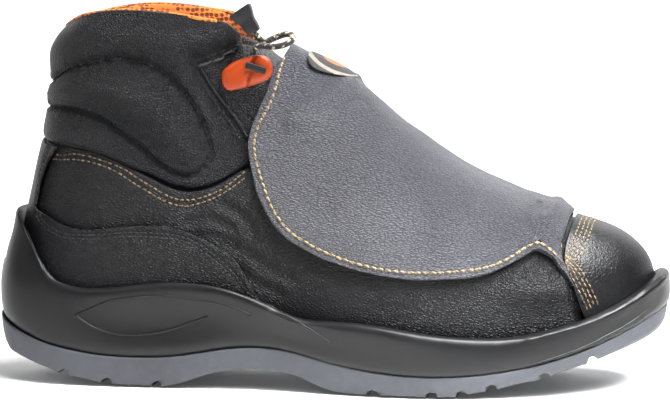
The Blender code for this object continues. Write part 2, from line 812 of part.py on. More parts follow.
GUARD_EDGE = [
    (0.766, 0.229), (0.736, 0.278), (0.700, 0.330), (0.664, 0.370), (0.640, 0.380),
    (0.597, 0.365), (0.545, 0.336), (0.472, 0.315), (0.361, 0.305), (0.243, 0.306),
    (0.125, 0.322), (0.020, 0.349), (-0.072, 0.388), (-0.131, 0.432), (-0.170, 0.490),
    (-0.197, 0.552), (-0.216, 0.606), (-0.220, 0.655), (-0.208, 0.700), (-0.184, 0.740),
    (-0.167, 0.790), (-0.160, 0.835),
]


def guard_lift(p, v):
    high = mix(0.0056, 0.0004, step(0.20 * HALF, 0.58 * HALF, p.x))
    return mix(0.0007, high, 1 - step(0.12, 0.80, v))


def guard_place():
    line = Line([ridge(0.722), ridge(0.60), ridge(0.40), ridge(0.20), ridge(0.05),
                 ridge(-0.06), ridge(-0.137)])
    edge = Line([locate(*p) for p in GUARD_EDGE])
    seam = Line([line.at(0.0), locate(0.706, 0.425), locate(0.690, 0.352), edge.at(0.0)])
    return patch(line, edge, seam, None)


GUARD = guard_place()


def guard():
    places = both_sides(GUARD, 20, 8)
    low, high = [], []
    for i, row in enumerate(places):
        low.append([guard_lift(form_point(*p), abs(j - 8) / 8) for j, p in enumerate(row)])
    low = settle(places, low, ["upper", "quarters", "facing_outer", "facing_inner",
                               "tongue", "collar_padding", "lace"], 2 * GAP)
    for i, row in enumerate(low):
        thick = mix(0.0016, GUARD_THICKNESS, step(0.0, 0.12, i / 20))
        high.append([under + thick for under in row])
    return slab("metatarsal_guard", on_form(places, high), on_form(places, low), LEATHER_GRAIN)


def tube(name, points, diameter, mat, sides=2):
    """A cord as a round tube through given points, closed at both ends."""
    curve = bpy.data.curves.new(name, "CURVE")
    curve.dimensions = "3D"
    curve.bevel_depth = diameter / 2
    curve.bevel_resolution = sides
    curve.use_fill_caps = True
    run = curve.splines.new("POLY")
    run.points.add(len(points) - 1)
    for point, target in zip(run.points, points):
        point.co = tuple(target) + (1.0,)
    obj = bpy.data.objects.new(name, curve)
    curve.materials.append(mat)
    BOOT.objects.link(obj)
    return obj


def smooth_route(route, spacing):
    """Points of a smooth curve through a route, evenly spaced."""
    first = [2 * a - b for a, b in zip(route[0], route[1])]
    final = [2 * a - b for a, b in zip(route[-1], route[-2])]
    rows = [first] + [list(p) for p in route] + [final]
    fine = [Vector(spline(rows, i / 30)) for i in range((len(route) - 1) * 30 + 1)]
    points, left = [fine[0]], 0.0
    for a, b in zip(fine, fine[1:]):
        left += (b - a).length
        if left >= spacing:
            points.append(b)
            left = 0.0
    if left < spacing / 2 and len(points) > 2:
        points.pop()
    points.append(fine[-1])
    return points


def lace():
    """The hidden lace, one cord that crosses the tongue to and fro."""
    stations = [7.8, 8.4, 9.0, 9.6, 10.2, 10.8]
    high = LACE_DIAMETER / 2 + 0.0019
    low = LACE_DIAMETER / 2 + GAP + 0.0003
    route = []
    for i, t in enumerate(stations):
        way = 1 if i % 2 == 0 else -1
        edge = throat_angle(t) + 7
        for share in (-1.0, -0.62, 0.0, 0.62, 1.0):
            out = mix(high, low, step(0.55, 1.0, abs(share)))
            route.append(skin(t, abs(share) * edge, way * (1 if share > 0 else -1), out))
    return tube("lace", smooth_route(route, 0.0065), LACE_DIAMETER, CORD_FLECK, 1)


toe_cap()
tongue()
quarters()
heel_counter()
collar()
facing("facing_outer", -1)
facing("facing_inner", 1)
lace()
guard()


# Sole. Stations run along the outline from the heel tip to the toe tip.
def outline_stations(count):
    rows = [(x * HALF, m * local_width(x * HALF), h * local_width(x * HALF))
            for x, m, h in OUTLINE]
    rows = [(rows[1][0], rows[1][1], -rows[1][2])] + rows
    rows.append((rows[-2][0], rows[-2][1], -rows[-2][2]))
    fine = [spline(rows, i / 20) for i in range((len(OUTLINE) - 1) * 20 + 1)]
    lengths = [0.0]
    for a, b in zip(fine, fine[1:]):
        lengths.append(lengths[-1] + math.hypot(b[0] - a[0], b[2] - a[2]))
    picked = []
    k = 0
    for i in range(count + 1):
        want = lengths[-1] * i / count
        while k < len(fine) - 2 and lengths[k + 1] < want:
            k += 1
        s = (want - lengths[k]) / (lengths[k + 1] - lengths[k])
        picked.append([mix(a, b, min(1.0, s)) for a, b in zip(fine[k], fine[k + 1])])
    return picked


SOLE_COUNT = 30
STATIONS = outline_stations(SOLE_COUNT)


def loop_points():
    """The outline as one loop: outer side from heel to toe, then back."""
    outer = [Vector((x, m - h, 0.0)) for x, m, h in STATIONS]
    inner = [Vector((x, m + h, 0.0)) for x, m, h in STATIONS]
    loop = outer + inner[-2:0:-1]
    points = []
    for i, p in enumerate(loop):
        along_way = loop[(i + 1) % len(loop)] - loop[i - 1]
        points.append((p, Vector((along_way.y, -along_way.x, 0.0)).normalized()))
    return points


LOOP = loop_points()


def ring(offset, height):
    """A ring round the sole. Offset and height are numbers or functions."""
    points = []
    for i, (p, n) in enumerate(LOOP):
        q = p + n * (offset(i) if callable(offset) else offset)
        points.append(Vector((q.x, q.y, height(q.x) if callable(height) else height)))
    return points


def rings_solid(name, rings, mat, seat_row=None):
    """A closed solid from a stack of rings, capped across at both ends.

    The facets above the seat row lean the other way, so that they lie
    parallel to those of the piece below."""
    bm = bmesh.new()
    rows = [[bm.verts.new(p) for p in points] for points in rings]
    total = len(LOOP)
    for k, (row, above) in enumerate(zip(rows, rows[1:])):
        for i in range(total):
            j = (i + 1) % total
            if k == seat_row:
                bm.faces.new((row[i], row[j], above[i]))
                bm.faces.new((row[j], above[j], above[i]))
            else:
                bm.faces.new((row[i], row[j], above[j]))
                bm.faces.new((row[i], above[j], above[i]))
    for row in (rows[0], rows[-1]):
        outer = row[:SOLE_COUNT + 1]
        inner = [row[0]] + row[:SOLE_COUNT - 1:-1]
        for i in range(SOLE_COUNT):
            a, b, c, d = outer[i], outer[i + 1], inner[i + 1], inner[i]
            if a is not d:
                bm.faces.new((a, c, d) if c is not b else (a, b, d))
            if b is not c:
                bm.faces.new((a, b, c))
    return publish(name, bm, mat)


TRAY = 0.009            # width of the upstanding edge of the tread layer


def tray_z(x):
    return min(tread_z(x) + OUTSOLE_FLOOR, parting_z(x) - 0.001)


def outsole():
    rings = [
        ring(-0.0036, tread_z),
        ring(-0.0014, lambda x: tread_z(x) + 0.0012),
        ring(-0.0004, lambda x: mix(tread_z(x), parting_z(x), 0.5)),
        ring(0.0, lambda x: parting_z(x) - 3 * GAP),
        ring(-0.0012, lambda x: parting_z(x) - GAP),
        ring(-TRAY, tray_z),
    ]
    obj = rings_solid("outsole", rings, TREAD_GREY)
    for index, share in enumerate((-0.767, -0.636, -0.485, 0.164, 0.334, 0.420,
                                   0.505, 0.656, 0.787)):
        x = share * HALF
        bpy.ops.mesh.primitive_cylinder_add(
            vertices=12, radius=GROOVE_WIDTH / 2, depth=1.6 * BALL_WIDTH,
            location=(x, 0.0, tread_z(x) + GROOVE_DEPTH - GROOVE_WIDTH / 2),
            rotation=(math.pi / 2, 0.0, 0.0))
        cutter = bpy.context.object
        cutter.name = "groove_" + str(index)
        cutter.hide_render = True
        cutter.display_type = "WIRE"
        for user in list(cutter.users_collection):
            user.objects.unlink(cutter)
        CUTTERS.objects.link(cutter)
        cut = obj.modifiers.new(cutter.name, "BOOLEAN")
        cut.operation = "DIFFERENCE"
        cut.solver = "EXACT"
        cut.object = cutter
    return obj


def wall_offsets(tree, height, default):
    """How far the outline lies from the upper, at the height of each point."""
    offsets = []
    for i, (p, n) in enumerate(LOOP):
        z = height(i)
        start = Vector((p.x, p.y, z)) + n * 0.02
        hit = tree.ray_cast(start, -n, 0.06)
        offsets.append(0.02 - hit[3] if hit[0] is not None else default[i])
    return offsets


def widest_near(values):
    total = len(values)
    return [max(values[i - 1], values[i], values[(i + 1) % total]) for i in range(total)]


def leaf(i, share):
    """The shallow leaf-shaped hollow in the side of the midsole heel."""
    x = LOOP[i][0].x / HALF
    along_leaf = (x + 0.47) / 0.27
    if abs(along_leaf) >= 1:
        return 0.0
    high = math.sqrt(1 - along_leaf * along_leaf)
    return -0.0016 * step(0.0, 0.5, high - abs(share - 0.52) / 0.32)


def midsole():
    tree = surface_of(["upper", "quarters", "toe_cap", "heel_counter"])
    # The rim follows the upper: its height depends on where it lands.
    total = len(LOOP)
    rim_x = [p.x - 0.008 * n.x for p, n in LOOP]
    for _ in range(4):
        hit = wall_offsets(tree, lambda i: rim_z(rim_x[i]), [-0.009] * total)
        rim_x = [p.x + n.x * h for (p, n), h in zip(LOOP, hit)]
    tops = [rim_z(x) for x in rim_x]
    thick = [along(RIM, x / HALF, 2) for x in rim_x]
    inner = []
    shares = (0.0, 0.16, 0.45, 0.80)
    for share in shares:
        def height(i):
            low = floor_z(LOOP[i][0].x) + 0.0016
            return mix(tops[i], low, share)
        found = wall_offsets(tree, height, inner[-1][0] if inner else hit)
        inner.append((found, [height(i) for i in range(total)]))
    spread = []
    for k, (found, heights) in enumerate(inner):
        near = [inner[m][0] for m in (k - 1, k, k + 1) if 0 <= m < len(inner)]
        widest = [max(values) for values in zip(*near)]
        spread.append([value + 2 * GAP + 2 * GAP * step(0.80 * HALF, 0.92 * HALF, p.x)
                       for value, (p, n) in zip(widest_near(widest), LOOP)])
    rows = []
    bottom = [parting_z(p.x) for p, n in LOOP]

    def ring_of(offsets, heights):
        return [Vector((p.x + n.x * o, p.y + n.y * o, z))
                for (p, n), o, z in zip(LOOP, offsets, heights)]

    rim_in = spread[0]
    rim_out = [a + b for a, b in zip(rim_in, thick)]
    rows.append(ring(-TRAY, lambda x: tray_z(x) + GAP))
    rows.append(ring(-0.0012, parting_z))
    for share in (0.10, 0.36, 0.62, 0.88):
        offsets, heights = [], []
        for i in range(total):
            swell = 1 - step(0.35, 1.0, share)
            base = mix(rim_out[i], 0.0, swell)
            offsets.append(base - 0.0006 * (1 - share) + leaf(i, share))
            heights.append(mix(bottom[i], tops[i], share))
        rows.append(ring_of(offsets, heights))
    rows.append(ring_of([mix(a, b, 0.72) for a, b in zip(rim_in, rim_out)],
                        [z - 0.0004 for z in tops]))
    rows.append(ring_of([mix(a, b, 0.3) for a, b in zip(rim_in, rim_out)],
                        [z + 0.0002 for z in tops]))
    for offsets, (found, heights) in zip(spread, inner):
        drop = 0.0012 if offsets is spread[0] else 0.0
        rows.append(ring_of(offsets, [z - drop for z in heights]))
    last = [o - 0.0006 for o in spread[-1]]
    rows.append(ring_of(last, [floor_z(p.x) for p, n in LOOP]))
    rows.append(ring_of([o - 0.012 for o in last], [floor_z(p.x - n.x * 0.018) for p, n in LOOP]))
    return rings_solid("midsole", rows, MIDSOLE, 0)


def insole():
    tree = surface_of(["upper"])
    offsets = []
    for p, n in LOOP:
        best = 0.0
        for lift in (0.0012, 0.0026, INSOLE_THICKNESS + 0.0006):
            z = floor_z(p.x) + lift
            start = Vector((p.x, p.y, z)) - n * 0.030
            hit = tree.ray_cast(start, n, 0.04)
            room = hit[3] if hit[0] is not None else 0.018
            best = min(best, room - 0.030)
        offsets.append(best)
    total = len(offsets)
    narrow = [min(offsets[i - 1], offsets[i], offsets[(i + 1) % total]) - 3 * GAP
              for i in range(total)]
    rows = []
    for lift, trim in ((GAP, 0.0), (INSOLE_THICKNESS - 0.001, 0.0), (INSOLE_THICKNESS, 0.001)):
        rows.append([Vector((p.x + n.x * (o - trim), p.y + n.y * (o - trim),
                             floor_z(p.x + n.x * o) + lift))
                     for (p, n), o in zip(LOOP, narrow)])
    for row in rows:
        for p in row:
            p.z += GAP + 0.0012 * step(0.72 * HALF, 0.88 * HALF, p.x)
    return rings_solid("insole", rows, FOOTBED)


# The quick release on the outer side of the collar front.
LEVER_AT = (-0.2197, 0.8294)    # its middle, in half lengths and collar heights
LEVER_OUTLINE = [(-0.48, -0.17), (-0.35, -0.33), (-0.19, -0.31), (0.19, -0.21),
                 (0.40, -0.08), (0.48, 0.08), (0.40, 0.25), (0.23, 0.33),
                 (0.02, 0.29), (-0.19, 0.17), (-0.40, 0.00)]
LEVER_THICKNESS = 0.0040


def plate(name, outline, y_back, thickness, mat, edge):
    bm = bmesh.new()
    front = [bm.verts.new((x, y_back - thickness, z)) for x, z in outline]
    rear = [bm.verts.new((x, y_back, z)) for x, z in outline]
    bm.faces.new(front)
    bm.faces.new(list(reversed(rear)))
    for i in range(len(front)):
        j = (i + 1) % len(front)
        bm.faces.new((front[i], rear[i], rear[j], front[j]))
    obj = publish(name, bm, mat)
    bevel = obj.modifiers.new("edges", "BEVEL")
    bevel.width = edge
    bevel.segments = 2
    bevel.limit_method = "ANGLE"
    bevel.angle_limit = math.radians(50)
    return obj


def release_lever():
    tree = surface_of(["collar_padding", "upper", "facing_outer", "metatarsal_guard"])
    cx, cz = LEVER_AT[0] * HALF, LEVER_AT[1] * COLLAR_HEIGHT
    outline = [(cx + a * LEVER_LENGTH, cz + b * LEVER_LENGTH) for a, b in LEVER_OUTLINE]
    seat = 0.0
    for x, z in outline + [(cx, cz)]:
        hit = tree.ray_cast(Vector((x, -BALL_WIDTH, z)), Vector((0, 1, 0)), BALL_WIDTH)
        if hit[0] is not None:
            seat = min(seat, hit[0].y)
    back_y = seat - GAP
    plate("release_lever", outline, back_y, LEVER_THICKNESS, LEVER_ORANGE, 0.0010)
    band = []
    for a, b in ((-0.02, 0.10), (0.36, -0.02), (0.40, 0.10), (0.02, 0.22)):
        band.append((cx + a * LEVER_LENGTH, cz + b * LEVER_LENGTH))
    plate("release_band", band, back_y - LEVER_THICKNESS - GAP, 0.0016, PLASTIC_BLACK, 0.0005)
    return back_y


CORD_END_AT = Vector((-0.0330, -0.0325, 0.1640))
CORD_END_WAY = Vector((-0.56, 0.0, 0.8285))


def cord_end():
    """A soft plastic clip on the end of the cord, wider at its free end."""
    bm = bmesh.new()
    bmesh.ops.create_cube(bm, size=1.0)
    for v in bm.verts:
        wide = 0.80 if v.co.x > 0 else 0.54
        v.co.x *= CORD_END_LENGTH
        v.co.z *= wide * CORD_END_LENGTH
        v.co.y *= 0.44 * CORD_END_LENGTH
    obj = publish("cord_end", bm, PLASTIC_BLACK)
    obj.location = CORD_END_AT
    obj.rotation_euler = (0.0, -math.atan2(CORD_END_WAY.z, CORD_END_WAY.x), 0.0)
    bevel = obj.modifiers.new("edges", "BEVEL")
    bevel.width = 0.0009
    bevel.segments = 2
    return obj


LOOP_START = CORD_END_AT - CORD_END_WAY * (CORD_END_LENGTH / 2 + 1.5 * GAP)
# The cord leaves the clip, turns at the tip of the flap and goes down to
# the top edge of the lever.
LOOP_ROUTE = [LOOP_START, LOOP_START - CORD_END_WAY * 0.0026,
              (-0.0248, -0.0310, 0.1551), (-0.0206, -0.0300, 0.1567),
              (-0.0162, -0.0306, 0.1582), (-0.0128, -0.0336, 0.1578),
              (-0.0124, -0.0374, 0.1558), (-0.0158, -0.0398, 0.1539),
              (-0.0202, -0.0392, 0.1531), (-0.0244, -0.0368, 0.1532),
              (-0.0280, -0.0339, 0.1528), (-0.0302, -0.0316, 0.1512),
              (-0.0306, -0.0309, 0.1489)]


def badge():
    """A plain round leather patch on the top of the guard."""
    centre = GUARD(0.885, 0.0)
    here = form_point(centre[0], 0, -1)
    radius = BADGE_WIDTH / 2
    per_t = (form_point(centre[0] + 0.5, 0, -1) - form_point(centre[0] - 0.5, 0, -1)).length
    places = []
    for i in range(4):
        row = []
        for j in range(17):
            around = 2 * math.pi * j / 16
            reach = radius * i / 3
            t = centre[0] + reach * math.cos(around) / per_t
            across = reach * math.sin(around)
            side = -1 if across <= 0 else 1
            angle = 0.0
            base = form_point(t, 0.0, side)
            while abs(across) > 1e-6 and (form_point(t, angle, side) - base).length < abs(across):
                angle += 0.25
            row.append((t, angle, side))
        places.append(row)
    start = [[0.0088] * 17 for _ in range(4)]
    outs = settle(places, start, ["metatarsal_guard"], GAP, reach=0.012)
    grid = on_form(places, outs)
    for row in grid:
        row[-1] = row[0]
    return sheet("badge_patch", grid, PLASTIC_BLACK, 0.0009)


outsole()
midsole()
insole()
release_lever()
cord_end()
tube("lace_loop", smooth_route(LOOP_ROUTE, 0.0026), LOOP_DIAMETER, CORD_FLECK)
badge()
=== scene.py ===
import math

import bmesh
import bpy
from mathutils import Matrix, Vector, noise
from mathutils.bvhtree import BVHTree
from mathutils.kdtree import KDTree


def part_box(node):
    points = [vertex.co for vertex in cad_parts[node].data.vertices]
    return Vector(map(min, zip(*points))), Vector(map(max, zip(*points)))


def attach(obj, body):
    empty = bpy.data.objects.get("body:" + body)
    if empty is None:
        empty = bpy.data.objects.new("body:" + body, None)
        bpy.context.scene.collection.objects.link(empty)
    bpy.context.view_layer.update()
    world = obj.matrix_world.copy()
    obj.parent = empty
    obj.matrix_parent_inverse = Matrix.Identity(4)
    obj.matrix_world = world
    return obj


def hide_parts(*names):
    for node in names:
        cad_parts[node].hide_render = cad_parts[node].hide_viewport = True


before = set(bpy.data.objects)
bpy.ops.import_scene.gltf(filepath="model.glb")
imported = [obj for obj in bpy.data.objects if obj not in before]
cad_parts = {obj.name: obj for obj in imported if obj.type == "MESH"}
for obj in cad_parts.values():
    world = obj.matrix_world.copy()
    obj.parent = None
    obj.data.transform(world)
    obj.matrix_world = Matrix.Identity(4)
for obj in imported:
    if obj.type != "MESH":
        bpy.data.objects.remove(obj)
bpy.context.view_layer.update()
mm = 0.001


def note(text):
    print("boot:", text)


# Camera and light
viewSettings = {
    "azimuth": 7.5,          # degrees, round from the little-toe side
    "elevation": 5.918,
    "distance": 1.5,
    "target": (0.00184, 0.0, 0.07976),
    "lens": 178.22, "sensor": 36.0,  # mm
    "far": 20.0,  # metres, as the distance and the target
}


def makeCamera(settings):
    turn = math.radians(settings["azimuth"])
    rise = math.radians(settings["elevation"])
    away = Vector((math.sin(turn) * math.cos(rise), -math.cos(turn) * math.cos(rise), math.sin(rise)))
    right = Vector((math.cos(turn), math.sin(turn), 0.0))
    up = away.cross(right)
    data = bpy.data.cameras.new("camera")
    data.sensor_width = settings["sensor"]
    data.lens = settings["lens"]
    data.clip_end = settings["far"]
    camera = bpy.data.objects.new("camera", data)
    place = Matrix((right, up, away)).transposed().to_4x4()
    place.translation = Vector(settings["target"]) + away * settings["distance"]
    camera.matrix_world = place
    bpy.context.scene.collection.objects.link(camera)
    bpy.context.scene.camera = camera


bootMiddle = (0.0, 0.0, 0.06)
worldGlow = 0.05
lightSettings = {
    # place, aim, size across and along in metres, watts, spread in degrees
    "overhead box": ((0.26, -0.16, 1.05), bootMiddle, (0.70, 0.42), 6.1, 80),
    "front left box": ((-0.70, -1.10, 0.85), bootMiddle, (0.40, 0.40), 0.20, 60),
    "front right box": ((0.60, -0.95, 0.90), bootMiddle, (0.36, 0.36), 0.7, 60),
    "toe box": ((0.34, -0.24, 0.48), (0.115, -0.03, 0.085), (0.20, 0.20), 0.5, 40),
    "low front strip": ((0.00, -1.60, 0.35), bootMiddle, (1.40, 0.12), 0.10, 90),
    "back box": ((0.30, 1.20, 0.90), bootMiddle, (1.60, 0.60), 5.0, 180),
}


def makeLights(settings):
    for name, (place, target, size, power, spread) in settings.items():
        data = bpy.data.lights.new(name, "AREA")
        data.shape = "RECTANGLE"
        data.size, data.size_y = size
        data.energy = power
        data.spread = math.radians(spread)
        lamp = bpy.data.objects.new(name, data)
        lamp.location = place
        aim = Vector(target) - Vector(place)
        lamp.rotation_euler = aim.to_track_quat("-Z", "Y").to_euler()
        bpy.context.scene.collection.objects.link(lamp)
    world = bpy.data.worlds.new("studio")
    world.use_nodes = True
    world.node_tree.nodes["Background"].inputs["Color"].default_value = toLinear("#ffffff")
    world.node_tree.nodes["Background"].inputs["Strength"].default_value = worldGlow
    bpy.context.scene.world = world


# Materials
def toLinear(hexColour):
    parts = [int(hexColour[i:i + 2], 16) / 255 for i in (1, 3, 5)]
    return tuple(c / 12.92 if c <= 0.04045 else ((c + 0.055) / 1.055) ** 2.4 for c in parts) + (1.0,)


def addNode(tree, kind, settings=None, links=None):
    node = tree.nodes.new(kind)
    for name, value in (settings or {}).items():
        if isinstance(name, str) and hasattr(node, name):
            setattr(node, name, value)
        else:
            node.inputs[name].default_value = value
    for name, source in (links or {}).items():
        tree.links.new(source, node.inputs[name])
    return node


def startMaterial(name, roughness, settings=None):
    material = bpy.data.materials.new(name)
    material.use_nodes = True
    tree = material.node_tree
    shader = tree.nodes["Principled BSDF"]
    shader.inputs["Roughness"].default_value = roughness
    for socket, value in (settings or {}).items():
        shader.inputs[socket].default_value = value
    return material, tree, shader


# one pattern repeat every so many mm
def perMm(size):
    return 1 / (size * mm)


# first and last are the two colours, low and high where they sit
def ramp(tree, source, low, high, first, last):
    node = addNode(tree, "ShaderNodeValToRGB", None, {"Fac": source})
    node.color_ramp.elements[0].position = low
    node.color_ramp.elements[0].color = first
    node.color_ramp.elements[1].position = high
    node.color_ramp.elements[1].color = last
    return node.outputs["Color"]


def grey(value):
    return (value, value, value, 1.0)


leatherPattern = {
    "gloss patch": 18.2, "tint patch": 71.4,     # mm
    "drift": 2.86, "wrinkle": 0.4545, "warp": 0.9,  # shares of one cell of the grain
    "cell edge": 0.34, "pit edge": 0.14, "lumps": 1.2, "duller": 0.08, "glossier": 0.07,
}


# Full-grain cattle leather, drum dyed and lightly finished: satin, with a
# pebble of small cells, finer wrinkles between them and uneven gloss.
def grainLeather(name, look):
    shape = leatherPattern
    material, tree, shader = startMaterial(name, look["roughness"], {"Specular IOR Level": look["specular"]})
    place = addNode(tree, "ShaderNodeTexCoord").outputs["Object"]
    turned = addNode(tree, "ShaderNodeMapping",
                     {"Rotation": (0.0, math.radians(look["slant"]), 0.0), "Scale": look["stretch"]},
                     {"Vector": place}).outputs["Vector"]
    drift = addNode(tree, "ShaderNodeTexNoise",
                    {"Scale": perMm(look["cell"] * shape["drift"]), "Detail": 3.0},
                    {"Vector": turned}).outputs["Color"]
    warped = addNode(tree, "ShaderNodeMix",
                     {"data_type": "VECTOR", "Factor": look["cell"] * mm * shape["warp"]},
                     {4: turned, 5: drift}).outputs[1]
    cells = addNode(tree, "ShaderNodeTexVoronoi",
                    {"feature": "DISTANCE_TO_EDGE", "Scale": perMm(look["cell"])},
                    {"Vector": warped}).outputs["Distance"]
    pebble = ramp(tree, cells, 0.0, shape["cell edge"], grey(0.0), grey(1.0))
    fine = addNode(tree, "ShaderNodeTexNoise",
                   {"Scale": perMm(look["cell"] * shape["wrinkle"]), "Detail": 4.0, "Roughness": 0.62},
                   {"Vector": turned}).outputs["Fac"]
    soft = addNode(tree, "ShaderNodeTexNoise",
                   {"Scale": perMm(shape["gloss patch"]), "Detail": 5.0, "Roughness": 0.6},
                   {"Vector": place}).outputs["Fac"]
    broad = addNode(tree, "ShaderNodeTexNoise", {"Scale": perMm(shape["tint patch"]), "Detail": 4.0},
                    {"Vector": place}).outputs["Fac"]
    height = addNode(tree, "ShaderNodeMath", {"operation": "MULTIPLY_ADD", 1: look["fine"]},
                     {0: fine, 2: pebble}).outputs[0]
    lumpy = addNode(tree, "ShaderNodeMath", {"operation": "MULTIPLY_ADD", 1: shape["lumps"]},
                    {0: soft, 2: height}).outputs[0]
    bump = addNode(tree, "ShaderNodeBump", {"Strength": look["bump"], "Distance": look["depth"] * mm},
                   {"Height": lumpy}).outputs["Normal"]
    tint = ramp(tree, broad, 0.30, 0.72, toLinear(look["dark"]), toLinear(look["light"]))
    pits = ramp(tree, cells, 0.0, shape["pit edge"], grey(look["pits"]), grey(1.0))
    colour = addNode(tree, "ShaderNodeMix",
                     {"data_type": "RGBA", "blend_type": "MULTIPLY", "Factor": 1.0},
                     {6: tint, 7: pits}).outputs[2]
    gloss = addNode(tree, "ShaderNodeMapRange",
                    {"From Min": 0.3, "From Max": 0.7, "To Min": look["roughness"] - shape["glossier"],
                     "To Max": look["roughness"] + shape["duller"]}, {"Value": soft}).outputs["Result"]
    tree.links.new(colour, shader.inputs["Base Color"])
    tree.links.new(gloss, shader.inputs["Roughness"])
    tree.links.new(bump, shader.inputs["Normal"])
    return material


# cell is the size of one cell of the grain in mm, depth that of the bump
smoothLeatherLook = {
    "dark": "#0a0a0c", "light": "#131316", "roughness": 0.36, "specular": 0.30, "cell": 1.2,
    "stretch": (0.7, 1.0, 1.1), "slant": 50, "fine": 1.3, "bump": 0.8, "depth": 0.36, "pits": 0.75,
}
toeLeatherLook = {
    "dark": "#0c0c0e", "light": "#151518", "roughness": 0.37, "specular": 0.36, "cell": 1.6,
    "stretch": (1.0, 1.0, 1.0), "slant": 0, "fine": 0.8, "bump": 0.5, "depth": 0.18, "pits": 0.85,
}
collarLeatherLook = {
    "dark": "#0c0c0f", "light": "#16161a", "roughness": 0.41, "specular": 0.32, "cell": 1.2,
    "stretch": (1.0, 1.0, 1.0), "slant": 0, "fine": 1.4, "bump": 0.9, "depth": 0.60, "pits": 0.7,
}
flapLeatherLook = {
    "dark": "#4d4d54", "light": "#6a6a74", "roughness": 0.42, "specular": 0.7, "cell": 1.15,
    "stretch": (0.5, 1.0, 1.3), "slant": 33, "fine": 1.6, "bump": 1.0, "depth": 1.15, "pits": 0.32,
}
smoothLeather = grainLeather("full-grain leather", smoothLeatherLook)
toeLeather = grainLeather("polished full-grain leather", toeLeatherLook)
collarLeather = grainLeather("soft nappa leather", collarLeatherLook)
flapLeather = grainLeather("pebbled cowhide", flapLeatherLook)


# Compact polyurethane foam, poured in a steel mould: satin, with a fine
# sandblasted texture and a few rub marks.
def pouredPolyurethane():
    material, tree, shader = startMaterial("moulded polyurethane", 0.40, {"Specular IOR Level": 0.36})
    place = addNode(tree, "ShaderNodeTexCoord").outputs["Object"]
    blast = addNode(tree, "ShaderNodeTexNoise", {"Scale": perMm(0.667), "Detail": 2.0},
                    {"Vector": place}).outputs["Fac"]
    rub = addNode(tree, "ShaderNodeTexNoise", {"Scale": perMm(38.5), "Detail": 6.0, "Roughness": 0.65},
                  {"Vector": place}).outputs["Fac"]
    tint = ramp(tree, rub, 0.35, 0.75, toLinear("#0e0e0f"), toLinear("#19191b"))
    gloss = addNode(tree, "ShaderNodeMapRange",
                    {"From Min": 0.3, "From Max": 0.7, "To Min": 0.30, "To Max": 0.44},
                    {"Value": rub}).outputs["Result"]
    bump = addNode(tree, "ShaderNodeBump", {"Strength": 0.25, "Distance": 0.06 * mm},
                   {"Height": blast}).outputs["Normal"]
    tree.links.new(tint, shader.inputs["Base Color"])
    tree.links.new(gloss, shader.inputs["Roughness"])
    tree.links.new(bump, shader.inputs["Normal"])
    return material


# Nitrile rubber tread, compression moulded: matte, grey, faintly mottled.
def treadRubber():
    material, tree, shader = startMaterial("nitrile rubber", 0.58)
    place = addNode(tree, "ShaderNodeTexCoord").outputs["Object"]
    mottle = addNode(tree, "ShaderNodeTexNoise", {"Scale": perMm(4.17), "Detail": 5.0, "Roughness": 0.7},
                     {"Vector": place}).outputs["Fac"]
    broad = addNode(tree, "ShaderNodeTexNoise", {"Scale": perMm(55.5), "Detail": 4.0},
                    {"Vector": place}).outputs["Fac"]
    mixed = addNode(tree, "ShaderNodeMath", {"operation": "MULTIPLY_ADD", 1: 0.45},
                    {0: mottle, 2: broad}).outputs[0]
    tint = ramp(tree, mixed, 0.45, 1.0, toLinear("#3b3d43"), toLinear("#53555c"))
    bump = addNode(tree, "ShaderNodeBump", {"Strength": 0.4, "Distance": 0.10 * mm},
                   {"Height": mottle}).outputs["Normal"]
    tree.links.new(tint, shader.inputs["Base Color"])
    tree.links.new(bump, shader.inputs["Normal"])
    return material


# Warp-knitted polyester spacer mesh: small open cells, pitch mm apart. With a
# fine pitch it stands for needled felt too.
def spacerMesh(name, light, dark, pitch):
    material, tree, shader = startMaterial(name, 0.85, {"Sheen Weight": 0.25})
    place = addNode(tree, "ShaderNodeTexCoord").outputs["Object"]
    cells = addNode(tree, "ShaderNodeTexVoronoi",
                    {"feature": "F1", "Scale": perMm(pitch), "Randomness": 0.35},
                    {"Vector": place}).outputs["Distance"]
    yarn = addNode(tree, "ShaderNodeTexNoise", {"Scale": perMm(0.714), "Detail": 3.0},
                   {"Vector": place}).outputs["Fac"]
    hole = ramp(tree, cells, 0.30, 0.52, grey(0.0), grey(1.0))
    tint = ramp(tree, cells, 0.30, 0.52, toLinear(dark), toLinear(light))
    height = addNode(tree, "ShaderNodeMath", {"operation": "MULTIPLY_ADD", 1: 0.5},
                     {0: yarn, 2: hole}).outputs[0]
    bump = addNode(tree, "ShaderNodeBump", {"Strength": 0.8, "Distance": 0.5 * mm},
                   {"Height": height}).outputs["Normal"]
    tree.links.new(tint, shader.inputs["Base Color"])
    tree.links.new(bump, shader.inputs["Normal"])
    return material


# Bonded polyester sewing thread: slightly shiny, with light and dark strands.
def sewingThread(name, light, dark):
    material, tree, shader = startMaterial(name, 0.55, {"Sheen Weight": 0.2})
    place = addNode(tree, "ShaderNodeTexCoord").outputs["Object"]
    # a diagonal wave of scale 1 repeats every 0.363 m
    strands = addNode(tree, "ShaderNodeTexWave",
                      {"wave_type": "BANDS", "bands_direction": "DIAGONAL", "Distortion": 1.5,
                       "Scale": 0.363 * perMm(1.396)}, {"Vector": place}).outputs["Fac"]
    tint = ramp(tree, strands, 0.2, 0.8, toLinear(dark), toLinear(light))
    bump = addNode(tree, "ShaderNodeBump", {"Strength": 0.5, "Distance": 0.12 * mm},
                   {"Height": strands}).outputs["Normal"]
    tree.links.new(tint, shader.inputs["Base Color"])
    tree.links.new(bump, shader.inputs["Normal"])
    return material


